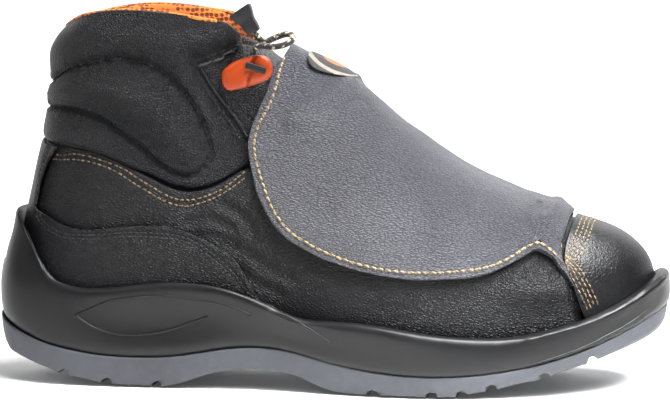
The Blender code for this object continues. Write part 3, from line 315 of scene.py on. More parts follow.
# Injection-moulded polyamide: even colour, fine spark-eroded skin.
def mouldedNylon(name, light, dark, roughness):
    material, tree, shader = startMaterial(name, roughness)
    place = addNode(tree, "ShaderNodeTexCoord").outputs["Object"]
    skin = addNode(tree, "ShaderNodeTexNoise", {"Scale": perMm(0.526), "Detail": 2.0},
                   {"Vector": place}).outputs["Fac"]
    broad = addNode(tree, "ShaderNodeTexNoise", {"Scale": perMm(8.33), "Detail": 5.0},
                    {"Vector": place}).outputs["Fac"]
    tint = ramp(tree, broad, 0.35, 0.7, toLinear(dark), toLinear(light))
    bump = addNode(tree, "ShaderNodeBump", {"Strength": 0.25, "Distance": 0.05 * mm},
                   {"Height": skin}).outputs["Normal"]
    tree.links.new(tint, shader.inputs["Base Color"])
    tree.links.new(bump, shader.inputs["Normal"])
    return material


# Braided polyester cord: black with yellow flecks, one strand 1.1 mm wide.
def braidedCord():
    material, tree, shader = startMaterial("braided polyester", 0.75, {"Sheen Weight": 0.3})
    place = addNode(tree, "ShaderNodeTexCoord").outputs["Object"]
    strands = addNode(tree, "ShaderNodeTexVoronoi", {"feature": "F1", "Scale": perMm(1.1)}, {"Vector": place})
    pick = addNode(tree, "ShaderNodeSeparateColor", None,
                   {"Color": strands.outputs["Color"]}).outputs["Red"]
    tint = ramp(tree, pick, 0.84, 0.87, toLinear("#111110"), toLinear("#b5a88c"))
    bump = addNode(tree, "ShaderNodeBump", {"Strength": 0.8, "Distance": 0.35 * mm, "invert": True},
                   {"Height": strands.outputs["Distance"]}).outputs["Normal"]
    tree.links.new(tint, shader.inputs["Base Color"])
    tree.links.new(bump, shader.inputs["Normal"])
    return material


polyurethane = pouredPolyurethane()
rubber = treadRubber()
orangeMesh = spacerMesh("orange spacer mesh", "#dd7a2c", "#70330a", 2.3)
tongueTextile = spacerMesh("black spacer mesh", "#2c2c30", "#0e0e10", 1.8)
footbedFelt = spacerMesh("needled felt", "#3a3a3d", "#232326", 1.2)
paleThread = sewingThread("pale gold polyester thread", "#a8946c", "#6a5a40")
goldThread = sewingThread("gold polyester thread", "#8f7650", "#56452f")
blackThread = sewingThread("black polyester thread", "#161618", "#0a0a0b")
orangeNylon = mouldedNylon("orange polyamide", "#b8440f", "#a3390a", 0.34)
blackNylon = mouldedNylon("black polyamide", "#242426", "#19191b", 0.42)
cordBraid = braidedCord()


# Modelling helpers
def finishMesh(name, bm, material, smoothAngle=40):
    mesh = bpy.data.meshes.new(name)
    bm.to_mesh(mesh)
    bm.free()
    mesh.materials.clear()
    mesh.materials.append(material)
    mesh.shade_smooth()
    if smoothAngle < 180:
        mesh.set_sharp_from_angle(angle=math.radians(smoothAngle))
    piece = bpy.data.objects.new(name, mesh)
    bpy.context.scene.collection.objects.link(piece)
    return piece


# the CAD node's own shape as a merged cage of four-sided faces
def copyOfNode(node):
    bm = bmesh.new()
    bm.from_mesh(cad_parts[node].data)
    bmesh.ops.remove_doubles(bm, verts=bm.verts, dist=0.00001)
    bmesh.ops.join_triangles(bm, faces=bm.faces, angle_face_threshold=math.radians(50),
                             angle_shape_threshold=math.radians(70), cmp_seam=False, cmp_sharp=False)
    return bm


# a finer copy of a node, with its rim eased by so many mm
def softened(node, name, material, levels, rim=0.35, sharp=50, steps=1):
    bm = copyOfNode(node)
    edges = [e for e in bm.edges if len(e.link_faces) == 2 and e.calc_face_angle() > math.radians(sharp)]
    if rim:
        bmesh.ops.bevel(bm, geom=edges, offset=rim * mm, offset_type="OFFSET", affect="EDGES",
                        segments=steps, profile=0.5, material=-1, clamp_overlap=True)
    piece = finishMesh(name, bm, material, 180)
    refine = piece.modifiers.new("refine", "SUBSURF")
    refine.levels = refine.render_levels = levels
    settleModifiers(piece)
    return piece


def settleModifiers(piece):
    graph = bpy.context.evaluated_depsgraph_get()
    fresh = bpy.data.meshes.new_from_object(piece.evaluated_get(graph))
    old = piece.data
    piece.modifiers.clear()
    piece.data = fresh
    fresh.name = piece.name
    bpy.data.meshes.remove(old)


def treeOf(piece):
    bm = bmesh.new()
    bm.from_mesh(piece.data)
    tree = BVHTree.FromBMesh(bm)
    bm.free()
    return tree


# moves each vertex along its normal by what reach(place, normal) says
def moveVertices(piece, reach):
    normals = [v.normal.copy() for v in piece.data.vertices]
    for v, n in zip(piece.data.vertices, normals):
        v.co += n * reach(v.co, n)
    piece.data.update()


rayStart, besideMiddle = 200.0, 30.0
middleLine = [(-152.5, 0.0), (-30.0, 0.0), (0.0, -1.3), (25.0, -1.4), (45.0, -0.6), (65.0, 0.9),
              (85.0, 2.3), (105.0, 3.8), (122.0, 4.9), (152.5, 6.4)]


# where the middle of the boot runs, in mm
def middleAt(x):
    for (x0, y0), (x1, y1) in zip(middleLine, middleLine[1:]):
        if x <= x1:
            return y0 + (y1 - y0) * max(0.0, (x - x0) / (x1 - x0))
    return middleLine[-1][1]


# (x, z) is met by a ray from that side; (x, y, z) takes the nearest place
def onPiece(tree, place, side):
    if len(place) == 2:
        x, z = place
        start = Vector((x, side * rayStart, z)) * mm
        hit = tree.ray_cast(start, Vector((0.0, -side, 0.0)), 2 * rayStart * mm)
        if hit[0] is not None:
            return hit[0]
        return tree.find_nearest(Vector((x, side * besideMiddle, z)) * mm)[0]
    y = middleAt(place[0]) + side * place[1]
    return tree.find_nearest(Vector((place[0], y, place[2])) * mm)[0]


def smoothThrough(points, perStep=24):
    rows = [points[0] * 2 - points[1]] + points + [points[-1] * 2 - points[-2]]
    fine = []
    for k in range(len(points) - 1):
        a, b, c, d = rows[k:k + 4]
        for i in range(perStep):
            s = i / perStep
            fine.append(0.5 * (2 * b + (c - a) * s + (2 * a - 5 * b + 4 * c - d) * s * s
                               + (3 * b - 3 * c + d - a) * s ** 3))
    return fine + [points[-1]]


def evenly(points, spacing):
    spaced, left = [points[0]], 0.0
    for a, b in zip(points, points[1:]):
        gap = (b - a).length
        while left + gap >= spacing:
            share = (spacing - left) / gap
            a = a + (b - a) * share
            spaced.append(a)
            gap = (b - a).length
            left = 0.0
        left += gap
    return spaced


# points and normals along a line of places laid on a piece
def seamOn(tree, places, side, spacing=0.5):
    rough = smoothThrough([onPiece(tree, p, side) for p in places])
    laid = [tree.find_nearest(p)[0] for p in rough]
    line = []
    for p in evenly(laid, spacing * mm):
        near = tree.find_nearest(p)
        line.append((near[0], near[1]))
    return line


# the same line moved sideways on its piece by some mm
def shifted(line, tree, across):
    moved = []
    for i, (p, n) in enumerate(line):
        ahead = line[min(i + 2, len(line) - 1)][0] - line[max(i - 2, 0)][0]
        sideways = n.cross(ahead).normalized()
        near = tree.find_nearest(p + sideways * across * mm)
        moved.append((near[0], near[1]))
    return moved


def ease(value, low, high):
    share = min(1.0, max(0.0, (value - low) / (high - low)))
    return share * share * (3 - 2 * share)


def kdOf(lines):
    spots = [p for line in lines for p, n in line]
    kd = KDTree(len(spots))
    for k, spot in enumerate(spots):
        kd.insert(spot, k)
    kd.balance()
    return kd


# sinks a soft channel along lines: depth and half width in mm
def pressLines(piece, lines, depth, width):
    kd = kdOf(lines)

    def reach(place, normal):
        gap = kd.find(place)[2] / (width * mm)
        return -depth * mm * math.exp(-gap * gap) if gap < 3 else 0.0

    moveVertices(piece, reach)


# a line moved onto the surface again after that has been shaped
def relaid(line, tree):
    return [tree.find_nearest(p)[:2] for p, n in line]


stitchShape = {"lift": 0.12, "flatness": 0.84, "corners": 6, "rings": 5}


# one thread stitch after another along lines, as low-sided beads
def sew(name, lines, look, material):
    bm = bmesh.new()
    size = Matrix.Diagonal((look["stitch"], look["thread"], look["thread"] * stitchShape["flatness"], 1.0))
    bead = size @ Matrix.Rotation(math.pi / 2, 4, "Y")
    for line in lines:
        travelled = 0.0
        want = look["pitch"] * mm * 0.5
        for k in range(1, len(line)):
            travelled += (line[k][0] - line[k - 1][0]).length
            if travelled < want:
                continue
            want += look["pitch"] * mm
            spot, normal = line[k]
            along = (line[min(k + 2, len(line) - 1)][0] - line[max(k - 2, 0)][0]).normalized()
            across = normal.cross(along).normalized()
            turn = Matrix((along, across, along.cross(across))).transposed().to_4x4()
            turn.translation = spot + normal * stitchShape["lift"] * mm
            bmesh.ops.create_uvsphere(bm, u_segments=stitchShape["corners"], v_segments=stitchShape["rings"],
                                      radius=mm / 2, matrix=turn @ bead)
    piece = finishMesh(name, bm, material, 180)
    place(piece, None)
    return piece


# every piece is part of the one rigid body
def place(piece, slot, *nodes):
    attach(piece, "root")
    if nodes:
        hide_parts(*nodes)


makeCamera(viewSettings)
makeLights(lightSettings)

# Cord
cordSettings = {
    # mm; the cord turns at the tip of the flap and goes down to the lever
    "route": [(-24.8, -31.0, 155.1), (-20.6, -30.0, 156.7), (-16.2, -30.6, 158.2), (-12.8, -33.6, 157.8),
              (-12.4, -37.4, 155.8), (-15.8, -39.8, 153.9), (-20.2, -39.2, 153.1), (-24.4, -36.8, 153.2),
              (-28.0, -33.9, 152.8), (-30.2, -31.6, 151.2), (-30.6, -30.9, 148.9)],
    "clipAt": Vector((-33.0, -32.5, 164.0)), "clipWay": Vector((-0.56, 0.0, 0.8285)),
    "clipToCord": 6.7, "lead": 2.6, "diameter": 2.8, "spacing": 1.2,
    # the clip widens towards its free end and is pinched in the middle
    "flare": 0.022, "pinch": 0.12, "pinch reach": 2.2,
}


def cordTube(name, points, diameter, material, corners=4):
    data = bpy.data.curves.new(name, "CURVE")
    data.dimensions = "3D"
    data.bevel_depth = diameter * mm / 2
    data.bevel_resolution = corners
    data.use_fill_caps = True
    run = data.splines.new("POLY")
    run.points.add(len(points) - 1)
    for target, p in zip(run.points, points):
        target.co = (p.x, p.y, p.z, 1.0)
    data.materials.append(material)
    piece = bpy.data.objects.new(name, data)
    bpy.context.scene.collection.objects.link(piece)
    return piece


clipFoot = cordSettings["clipAt"] - cordSettings["clipWay"] * cordSettings["clipToCord"]
cordRoute = [clipFoot, clipFoot - cordSettings["clipWay"] * cordSettings["lead"]]
cordRoute += [Vector(p) for p in cordSettings["route"]]
cordPoints = evenly([p * mm for p in smoothThrough(cordRoute)], cordSettings["spacing"] * mm)
cordLoop = cordTube("cordLoop", cordPoints, cordSettings["diameter"], cordBraid)
place(cordLoop, "flecked_cord", "lace_loop")
note("cord laid")

# Sole
soleSettings = {
    # mm, seen from the side
    "leaf top": [(-111, 32), (-104, 35), (-95, 39), (-84, 41), (-73, 42), (-61, 41), (-52, 40), (-44, 39),
                 (-37, 37), (-30, 34)],
    "leaf foot": [(-111, 32), (-107, 29.5), (-103, 27), (-97, 25), (-90, 24), (-82, 24), (-74, 25),
                  (-66, 27), (-58, 30), (-50, 33)],
    "toe line": [(93, 15), (104, 18), (116, 22), (127, 27), (137, 32), (145, 37.5)],
    "wave": [(-22, 37), (-15, 35), (-8, 32), (-1, 28), (6, 23.5)],
    "bead": 1.2,
    # the moulded foam stands out by so much ahead of the arch and at the heel
    "roll": {"fore": 1.5, "heel": 0.7, "fades over": (10.0, -40.0), "step": 8.0, "middle": 20.0},
    "heel panel": {"half width": 13.0, "low": 54.0, "high": 73.0, "depth": 1.3, "edge": 2.4,
                   "behind": -120.0},
}
outsole = softened("outsole", "outsoleTread", rubber, 1, 0.3, 40)
place(outsole, "grey_rubber", "outsole")
midsole = softened("midsole", "midsoleBody", polyurethane, 2, 1.3, 60, 2)


# a shallow panel sunk in the back of the heel
def heelPanel(spot, normal):
    look = soleSettings["heel panel"]
    if spot.x > look["behind"] * mm or normal.x > -0.4:
        return 0.0
    across = look["half width"] - abs(spot.y) / mm
    up = min(spot.z / mm - look["low"], look["high"] - spot.z / mm)
    return -look["depth"] * mm * ease(min(across, up), 0.0, look["edge"])


# the lowest and highest place of the piece in steps along its length
def sideHeights(piece, step):
    heights = {}
    for v in piece.data.vertices:
        k = round(v.co.x / step)
        low, high = heights.get(k, (v.co.z, v.co.z))
        heights[k] = (min(low, v.co.z), max(high, v.co.z))
    return heights


midsoleHeights = sideHeights(midsole, soleSettings["roll"]["step"] * mm)


# the sides roll outwards between their two edges, flat faces stay
def fullSide(spot, normal):
    look = soleSettings["roll"]
    k = round(spot.x / (look["step"] * mm))
    lows, highs = zip(*[midsoleHeights.get(j, midsoleHeights[k]) for j in (k - 1, k, k + 1)])
    low, high = sum(lows) / 3, sum(highs) / 3
    share = min(1.0, max(0.0, (spot.z - low) / (high - low)))
    across = spot.y - middleAt(spot.x / mm) * mm
    out = Vector((spot.x - look["middle"] * mm, 3 * across, 0.0)).normalized()
    if abs(normal.z) > 0.9 or normal.dot(out) < 0.2:
        return 0.0
    fore, heel = look["fades over"]
    height = look["fore"] + (look["heel"] - look["fore"]) * ease(-spot.x / mm, -fore, -heel)
    return height * mm * math.sin(math.pi * share ** 0.85)


moveVertices(midsole, fullSide)
moveVertices(midsole, heelPanel)
place(midsole, "black_polyurethane", "midsole")
midsoleTree = treeOf(midsole)
for k, row in enumerate(("leaf top", "leaf foot", "toe line", "wave")):
    for side in (-1, 1):
        line = [p for p, n in seamOn(midsoleTree, soleSettings[row], side, 1.0)]
        bead = cordTube("mouldLine." + str(2 * k + (side > 0)), line, soleSettings["bead"], polyurethane, 2)
        place(bead, "black_polyurethane")
footbed = softened("insole", "footbed", footbedFelt, 1, 0.4)
place(footbed, "footbed_foam", "insole")
note("sole done")

# Upper
liningSettings = {"shaft above": 75.0, "shaft behind": -20.0, "shaft middle": -72.0, "foot middle": 40.0}
lining = softened("upper", "meshLining", orangeMesh, 1, 0.3)
lining.data.materials.append(smoothLeather)
for face in lining.data.polygons:
    # the outside of the shell is leather, the inside mesh
    x, y, z = face.center / mm
    if z > liningSettings["shaft above"] and x < liningSettings["shaft behind"]:
        axis = Vector((liningSettings["shaft middle"], 0.0, z)) * mm
    else:
        axis = Vector((x, middleAt(x), liningSettings["foot middle"])) * mm
    if (face.center - axis).dot(face.normal) > 0:
        face.material_index = 1
place(lining, "orange_mesh_lining", "upper")
tonguePad = softened("tongue", "tonguePad", tongueTextile, 2, 0.8)
place(tonguePad, "tongue_textile", "tongue")
for node, name in (("facing_outer", "facingOuter"), ("facing_inner", "facingInner")):
    facing = softened(node, name, smoothLeather, 2)
    place(facing, "black_leather", node)

# Every seam below is given in mm as seen from the little-toe side, or with
# the distance from the middle line between x and z where it runs over the
# top or round the heel. The inner side of the boot mirrors it.
quarterSettings = {
    "upper row": [(-128, 12, 103.5), (-119, 103), (-112, 104), (-104, 103), (-97, 101), (-89, 98),
                  (-82, 93.5), (-76, 90), (-70, 86.5), (-64, 84.5), (-58, 84.5), (-52, 86), (-45, 89),
                  (-40, 92.5), (-34, 97.5)],
    "lower row": [(-128, 12, 101), (-120, 101), (-113, 101.5), (-106, 101), (-98, 99), (-91, 96), (-85, 92),
                  (-79, 88.5), (-73, 85), (-67, 82.5), (-61, 81.5), (-56, 82.5), (-50, 84.5), (-44, 87.5),
                  (-38, 91.5), (-33, 95.5)],
    "pitch": 2.6, "stitch": 2.0, "thread": 0.75,
    "swell": {"at": (97, 48), "reach": (17, 7.5), "height": 3.4, "waves per metre": 55.0, "wave": 0.5,
              "off middle": 8, "ahead of": -100},
    # depth and half width of the pressed lines
    "flex press": (0.8, 2.6), "row press": (0.25, 0.9),
    "flex": [[(-60, 74), (-50, 76), (-40, 72)], [(-56, 68), (-46, 68), (-36, 62)],
             [(-44, 82), (-36, 78), (-30, 70)], [(-34, 62), (-24, 55), (-12, 50)],
             [(-38, 54), (-28, 48), (-18, 44)]],
}
quarter = softened("quarters", "quarterLeather", smoothLeather, 3)
quarterTree = treeOf(quarter)
goldRows = [seamOn(quarterTree, quarterSettings[row], side)
            for row in ("upper row", "lower row") for side in (-1, 1)]
flexLines = [seamOn(quarterTree, line, side) for line in quarterSettings["flex"] for side in (-1, 1)]


# the leather stands out over the toe box, under the front of the flap
def vampSwell(spot, normal):
    look = quarterSettings["swell"]
    across = spot.y / mm - middleAt(spot.x / mm)
    if abs(across) < look["off middle"] or spot.x < look["ahead of"] * mm:
        return 0.0
    x = (spot.x / mm - look["at"][0]) / look["reach"][0]
    z = (spot.z / mm - look["at"][1]) / look["reach"][1]
    wave = look["wave"] * noise.noise(spot * look["waves per metre"])
    return (look["height"] * math.exp(-x * x - z * z) + wave) * mm


moveVertices(quarter, vampSwell)
pressLines(quarter, flexLines, *quarterSettings["flex press"])
pressLines(quarter, goldRows, *quarterSettings["row press"])
place(quarter, "black_leather", "quarters")

counterSettings = {
    "outer row": [(-124, 107), (-128, 98), (-130, 90), (-131, 82), (-130, 76), (-126, 72), (-121, 69.5),
                  (-115, 68), (-107, 68), (-98, 68.5), (-88, 69.5), (-77, 69.5), (-68, 69), (-60, 67.5),
                  (-53, 64), (-46, 59), (-40, 53.5), (-34, 46.5)],
    "gap": 1.8, "pitch": 2.4, "stitch": 1.8, "thread": 0.7, "press": (0.35, 0.9),
}
counter = softened("heel_counter", "counterLeather", smoothLeather, 3)
counterTree = treeOf(counter)
counterRows = []
for side in (-1, 1):
    row = seamOn(counterTree, counterSettings["outer row"], side)
    counterRows += [row, shifted(row, counterTree, side * counterSettings["gap"])]
pressLines(counter, counterRows, *counterSettings["press"])
place(counter, "black_leather", "heel_counter")

toeSettings = {
    "rear row": [(114, 0, 78), (113, 8.5, 76), (111.5, 21, 71), (109, 29, 65), (107.5, 60), (109, 55),
                 (111.5, 50), (114.5, 44), (117, 38)],
    "rows": 4, "first": 0.6, "gap": 1.9, "pitch": 2.8, "stitch": 2.2, "thread": 0.8, "press": (0.12, 1.3),
    "calm beyond": 121.0, "calm times": 5,
}
toeCap = softened("toe_cap", "toeCapLeather", toeLeather, 3)


# evens out the surface beyond some x, without moving its rims
def calmed(piece, beyond, times):
    bm = bmesh.new()
    bm.from_mesh(piece.data)
    verts = [v for v in bm.verts
             if v.co.x > beyond and all(e.calc_face_angle(0.0) < 0.6 for e in v.link_edges)]
    for k in range(times):
        bmesh.ops.smooth_vert(bm, verts=verts, factor=0.5, use_axis_x=True, use_axis_y=True, use_axis_z=True)
    bm.to_mesh(piece.data)
    bm.free()


calmed(toeCap, toeSettings["calm beyond"] * mm, toeSettings["calm times"])
toeTree = treeOf(toeCap)
toeRows = []
for side in (-1, 1):
    row = seamOn(toeTree, toeSettings["rear row"], side)
    for k in range(toeSettings["rows"]):
        toeRows.append(shifted(row, toeTree, -side * (toeSettings["first"] + k * toeSettings["gap"])))
pressLines(toeCap, toeRows, *toeSettings["press"])
place(toeCap, "black_leather", "toe_cap")

# Padded collar
collarSettings = {
    "leaf": [(-129, 0, 135), (-127, 14, 136), (-122, 138), (-113, 143), (-105, 145), (-95, 147), (-88, 147),
             (-80, 146), (-72, 143), (-65, 137), (-60, 131), (-55, 122), (-52, 115), (-50, 108), (-50, 103),
             (-53, 99), (-58, 95.5), (-64, 96), (-70, 98.5), (-75, 102), (-80, 107), (-86, 111.5),
             (-92, 116), (-98, 120), (-104, 122), (-112, 124), (-120, 124.5), (-125, 16, 124),
             (-128, 0, 124)],
    "front edge": [(-54, 143), (-50, 135), (-44, 126), (-39, 119), (-34, 111)],
    "front edge twin": [(-56, 142), (-52, 134), (-46.3, 125), (-41.3, 118), (-36.3, 110)],
    "front top": [(-55, 144.5), (-47, 147), (-41, 149.5), (-35, 151)],
    "front top twin": [(-56, 146.5), (-48, 149), (-42, 151.5), (-36, 153)],
    "seams": ("leaf", "front edge", "front edge twin", "front top", "front top twin"),
    "pitch": 2.2, "stitch": 1.9, "thread": 0.6,
    "depth": 1.9, "front depth": 1.0, "crown": 2.8, "channel": 1.0, "reach": 9.5, "front reach": 5.0,
    "middle": -75.0,
    # the swell starts above the lower edge, which rises ahead of the heel
    "low heel": (88.0, 104.0), "low side": (86.0, 98.0), "side from": -60.0, "side rise": 0.5,
    # it ends below the rim, which dips behind, and behind the front edge
    "rim": (172.0, 2.0, 12.0), "dip": (170.0, -108.0, 0.6, 12.0),
    "front": (34.0, 111.0, 0.62, 6.0), "front above": (146.0, 36.0, 9.0),
    # puckers along the channels and soft waves, per metre and mm high
    "pucker": (330.0, 0.45, 4.0), "waves": (60.0, 110.0, 0.45),
    "fold": {"off": 0.75, "thick": 1.7},
    "lining over": {"above": 120.0, "behind": -60.0, "middle": -76.0, "facing": 0.25},
}
collar = softened("collar_padding", "collarPad", collarLeather, 3, 0.8)
collarTree = treeOf(collar)
channels = kdOf([seamOn(collarTree, collarSettings["leaf"], side) for side in (-1, 1)])
frontSeams = kdOf([seamOn(collarTree, collarSettings[name], side)
                   for name in collarSettings["seams"][1:] for side in (-1, 1)])


# how much of the swell is left near the edges of the collar
def collarFade(x, z):
    look = collarSettings
    if x < look["side from"]:
        low = ease(z, *look["low heel"])
    else:
        low = ease(z - look["side rise"] * (x - look["side from"]), *look["low side"])
    rim, rimStart, rimEnd = look["rim"]
    dip, dipFrom, dipSlope, dipEnd = look["dip"]
    top = ease(rim - z, rimStart, rimEnd) * ease(dip - z + dipSlope * min(0.0, x - dipFrom), 0.0, dipEnd)
    edge, edgeFoot, lean, soft = look["front"]
    shoulder, shoulderEdge, shoulderSoft = look["front above"]
    if z < shoulder:
        front = ease(-x - edge - lean * (z - edgeFoot), 0.0, soft)
    else:
        front = ease(-x - shoulderEdge, 0.0, shoulderSoft)
    return low * top * front, front


# foam swells between the sewn channels and is held down in them
def quilted(spot, normal):
    look = collarSettings
    out = Vector((spot.x - look["middle"] * mm, spot.y, 0.0))
    if normal.dot(out) < 0.3 * out.length:
        return 0.0
    gap = channels.find(spot)[2] / mm
    frontGap = frontSeams.find(spot)[2] / mm
    fade, front = collarFade(spot.x / mm, spot.z / mm)
    swell = look["crown"] * (1 - math.exp(-(gap / look["reach"]) ** 2)) * fade
    swell *= 1 - math.exp(-(frontGap / look["front reach"]) ** 2)
    swell -= look["front depth"] * math.exp(-(frontGap / look["channel"]) ** 2)
    perMetre, height, reach = look["pucker"]
    pucker = height * noise.noise(spot * perMetre) * math.exp(-(gap / reach) ** 2)
    along, up, height = look["waves"]
    wave = height * noise.noise(Vector((spot.x * along, spot.y * along, spot.z * up)))
    channel = look["depth"] * math.exp(-(gap / look["channel"]) ** 2)
    return (swell + pucker + wave * front - channel) * mm


moveVertices(collar, quilted)
collar.data.materials.append(orangeMesh)
for face in collar.data.polygons:
    # the lining wraps over the rim from inside
    over = collarSettings["lining over"]
    x, y, z = face.center / mm
    inward = Vector((over["middle"] - x, -y, 0.0)).normalized()
    if z > over["above"] and x < over["behind"] and face.normal.dot(inward) > over["facing"]:
        face.material_index = 1
place(collar, "collar_leather", "collar_padding")

rimSettings = {
    "middle": (-78.0, 0.0), "from": 8.0, "to": 66.0, "stride": 0.5, "above": 200.0, "turn": 3,  # degrees
    "lowest": 157.0, "thick": 2.4, "sink": 0.5, "even": 4, "spacing": 1.0,
}


# the highest place of the collar in each direction from its middle
def rimCrest(tree, look):
    middle = Vector((*look["middle"], look["above"]))
    down = Vector((0.0, 0.0, -1.0))
    crest = []
    for degree in range(0, 360, look["turn"]):
        way = Vector((math.cos(math.radians(degree)), math.sin(math.radians(degree)), 0.0))
        best = None
        reach = look["from"]
        while reach < look["to"]:
            hit = tree.ray_cast((middle + way * reach) * mm, down, look["above"] / 2 * mm)[0]
            if hit is not None and (best is None or hit.z > best.z):
                best = hit
            reach += look["stride"]
        if best is not None and best.z > look["lowest"] * mm:
            crest.append(best + down * look["sink"] * mm)
    return crest


crest = rimCrest(treeOf(collar), rimSettings)
for k in range(rimSettings["even"]):
    crest = [(a + b * 2 + c) / 4 for a, b, c in zip(crest, crest[1:], crest[2:])]
pipingLine = evenly(smoothThrough(crest, 6), rimSettings["spacing"] * mm)
piping = cordTube("rimPiping", pipingLine, rimSettings["thick"], orangeMesh, 3)
place(piping, None)
note("collar done")

# Flap
flapSettings = {
    "row": [(107, 59), (103, 63.5), (99, 66.5), (96, 67.5), (91.5, 66), (86, 62.5), (80, 59.5), (71, 57),
            (55, 55.4), (37, 55.5), (20, 58), (4.5, 62.5), (-9, 69), (-17.3, 76), (-22.8, 85), (-26.7, 95),
            (-29.4, 103.5), (-30, 111), (-28.4, 118), (-24.8, 125), (-22, 133.5), (-20.8, 141), (-19.5, 147)],
    "pitch": 3.3, "stitch": 3.0, "thread": 1.35, "row press": (0.28, 1.0),
    "waves": ((32.0, 1.3), (105.0, 0.4)),  # per metre, mm high
    # raised folds and sunken creases: places, height in mm, half width in mm
    "folds": [([(11, 8, 137), (8, 134), (3, 131), (-6, 127), (-14, 121)], 2.0, 3.6),
              ([(15, 15, 125), (9, 21, 121), (1, 117), (-9, 112)], -2.0, 5.0),
              ([(104, 0, 86), (103, 14, 83), (99, 26, 77)], 1.9, 3.4),
              ([(110, 0, 80), (109, 14, 77), (107, 24, 71), (104, 66)], -1.4, 1.7),
              ([(96, 15, 85), (94, 22, 82), (91, 29, 77)], -1.0, 1.8),
              ([(72, 64), (78, 68), (87, 70), (94, 73), (99, 20, 77)], -0.9, 1.5),
              ([(64, 61), (74, 62.5), (84, 65), (92, 69)], -0.7, 1.6),
              ([(82, 73), (92, 77), (98, 80)], -0.6, 1.4),
              ([(40, 62), (52, 62), (62, 64)], -0.5, 2.4),
              ([(-20, 100), (-12, 88), (0, 78)], -0.5, 3.0),
              ([(101, 67), (102, 71), (103, 18, 76)], -0.7, 1.2),
              ([(97, 68.5), (98, 72), (100, 76)], -0.7, 1.1),
              ([(92, 68), (94, 71.5), (97, 75)], -0.6, 1.1),
              ([(84, 63.5), (89, 67.5), (92, 71)], -0.5, 1.2),
              ([(58, 58.5), (68, 60.5), (76, 62)], -0.5, 1.3)],
}
flap = softened("metatarsal_guard", "metatarsalFlap", flapLeather, 3)
flapTree = treeOf(flap)
foldTables = []
for places, height, width in flapSettings["folds"]:
    foldTables.append((kdOf([seamOn(flapTree, places, side) for side in (-1, 1)]), height, width))
flapRows = kdOf([seamOn(flapTree, flapSettings["row"], side) for side in (-1, 1)])


def foldedFlap(spot, normal):
    move = 0.0
    for kd, height, width in foldTables:
        gap = kd.find(spot)[2] / mm / width
        if gap < 3:
            move += height * math.exp(-gap * gap)
    depth, width = flapSettings["row press"]
    move -= depth * math.exp(-(flapRows.find(spot)[2] / mm / width) ** 2)
    move += sum(height * noise.noise(spot * perMetre) for perMetre, height in flapSettings["waves"])
    return move * mm


moveVertices(flap, foldedFlap)
place(flap, "pebbled_leather", "metatarsal_guard")
flapTree = treeOf(flap)
note("flap done")

# Stitching, laid on the finished surfaces
quarterTree, counterTree, toeTree = treeOf(quarter), treeOf(counter), treeOf(toeCap)
sew("quarterStitches", [relaid(line, quarterTree) for line in goldRows], quarterSettings, goldThread)
sew("counterStitches", [relaid(line, counterTree) for line in counterRows], counterSettings, blackThread)
collarTree = treeOf(collar)
for name in ("front edge", "front top"):
    for side in (-1, 1):
        # the folded edge of the leather, beside its two rows of stitches
        edge = seamOn(collarTree, collarSettings[name], side, 1.0)
        look = collarSettings["fold"]
        off = look["off"] if name == "front edge" else -look["off"]
        fold = [p for p, n in shifted(edge, collarTree, off)]
        rollName = name.replace(" ", "") + "Fold" + ("Outer" if side < 0 else "Inner")
        place(cordTube(rollName, fold, look["thick"], toeLeather, 2), None)
collarSeams = [seamOn(collarTree, collarSettings[name], side)
               for name in collarSettings["seams"] for side in (-1, 1)]
sew("collarStitches", collarSeams, collarSettings, blackThread)
sew("toeStitches", [relaid(line, toeTree) for line in toeRows], toeSettings, goldThread)
flapSeams = [seamOn(flapTree, flapSettings["row"], side) for side in (-1, 1)]
sew("flapStitches", flapSeams, flapSettings, paleThread)
note("stitches done")

# Small parts
leverSettings = {
    # mm from the middle of the lever, along and up
    "middle": (-33.5, 141.0), "thick": 4.0, "spacing": 0.7,
    "outline": [(-11.5, -1.6), (-11.1, -4.3), (-9.5, -7.0), (-6.8, -7.8), (-2.3, -7.0), (2.3, -5.7),
                (6.8, -4.1), (10.0, -2.3), (11.4, 0.7), (10.9, 3.9), (9.1, 6.8), (6.4, 7.8), (2.7, 7.6),
                (-0.9, 6.6), (-5.0, 5.2), (-8.6, 3.0), (-10.7, 0.8)],
    # rings from the rim inwards as shares of the outline; the dome rises from
    # "rim rise" of the thickness
    "rings": (1.0, 0.97, 0.90, 0.80, 0.68, 0.55, 0.42, 0.29, 0.16), "rim rise": 0.55,
    # the groove lies across behind the pad, the dish in the pad
    "groove": {"depth": 1.3, "at": 1.6, "lean": 0.25, "reach": 0.6},
    "dish": {"depth": 0.8, "at": -6.5, "reach": 4.0},
}


# how far the top of the lever stands over its back at one ring's place
def leverRise(look, spot, share):
    groove, dish = look["groove"], look["dish"]
    rise = look["thick"] * (look["rim rise"] + (1 - look["rim rise"]) * math.sqrt(1 - share ** 3))
    along = spot.x * share - groove["at"] - groove["lean"] * spot.z * share
    if share < 1.0:
        rise -= groove["depth"] * math.exp(-(along / groove["reach"]) ** 2)
        if along < 0:
            rise -= dish["depth"] * math.exp(-((along - dish["at"]) / dish["reach"]) ** 2) * (1 - share)
    return rise


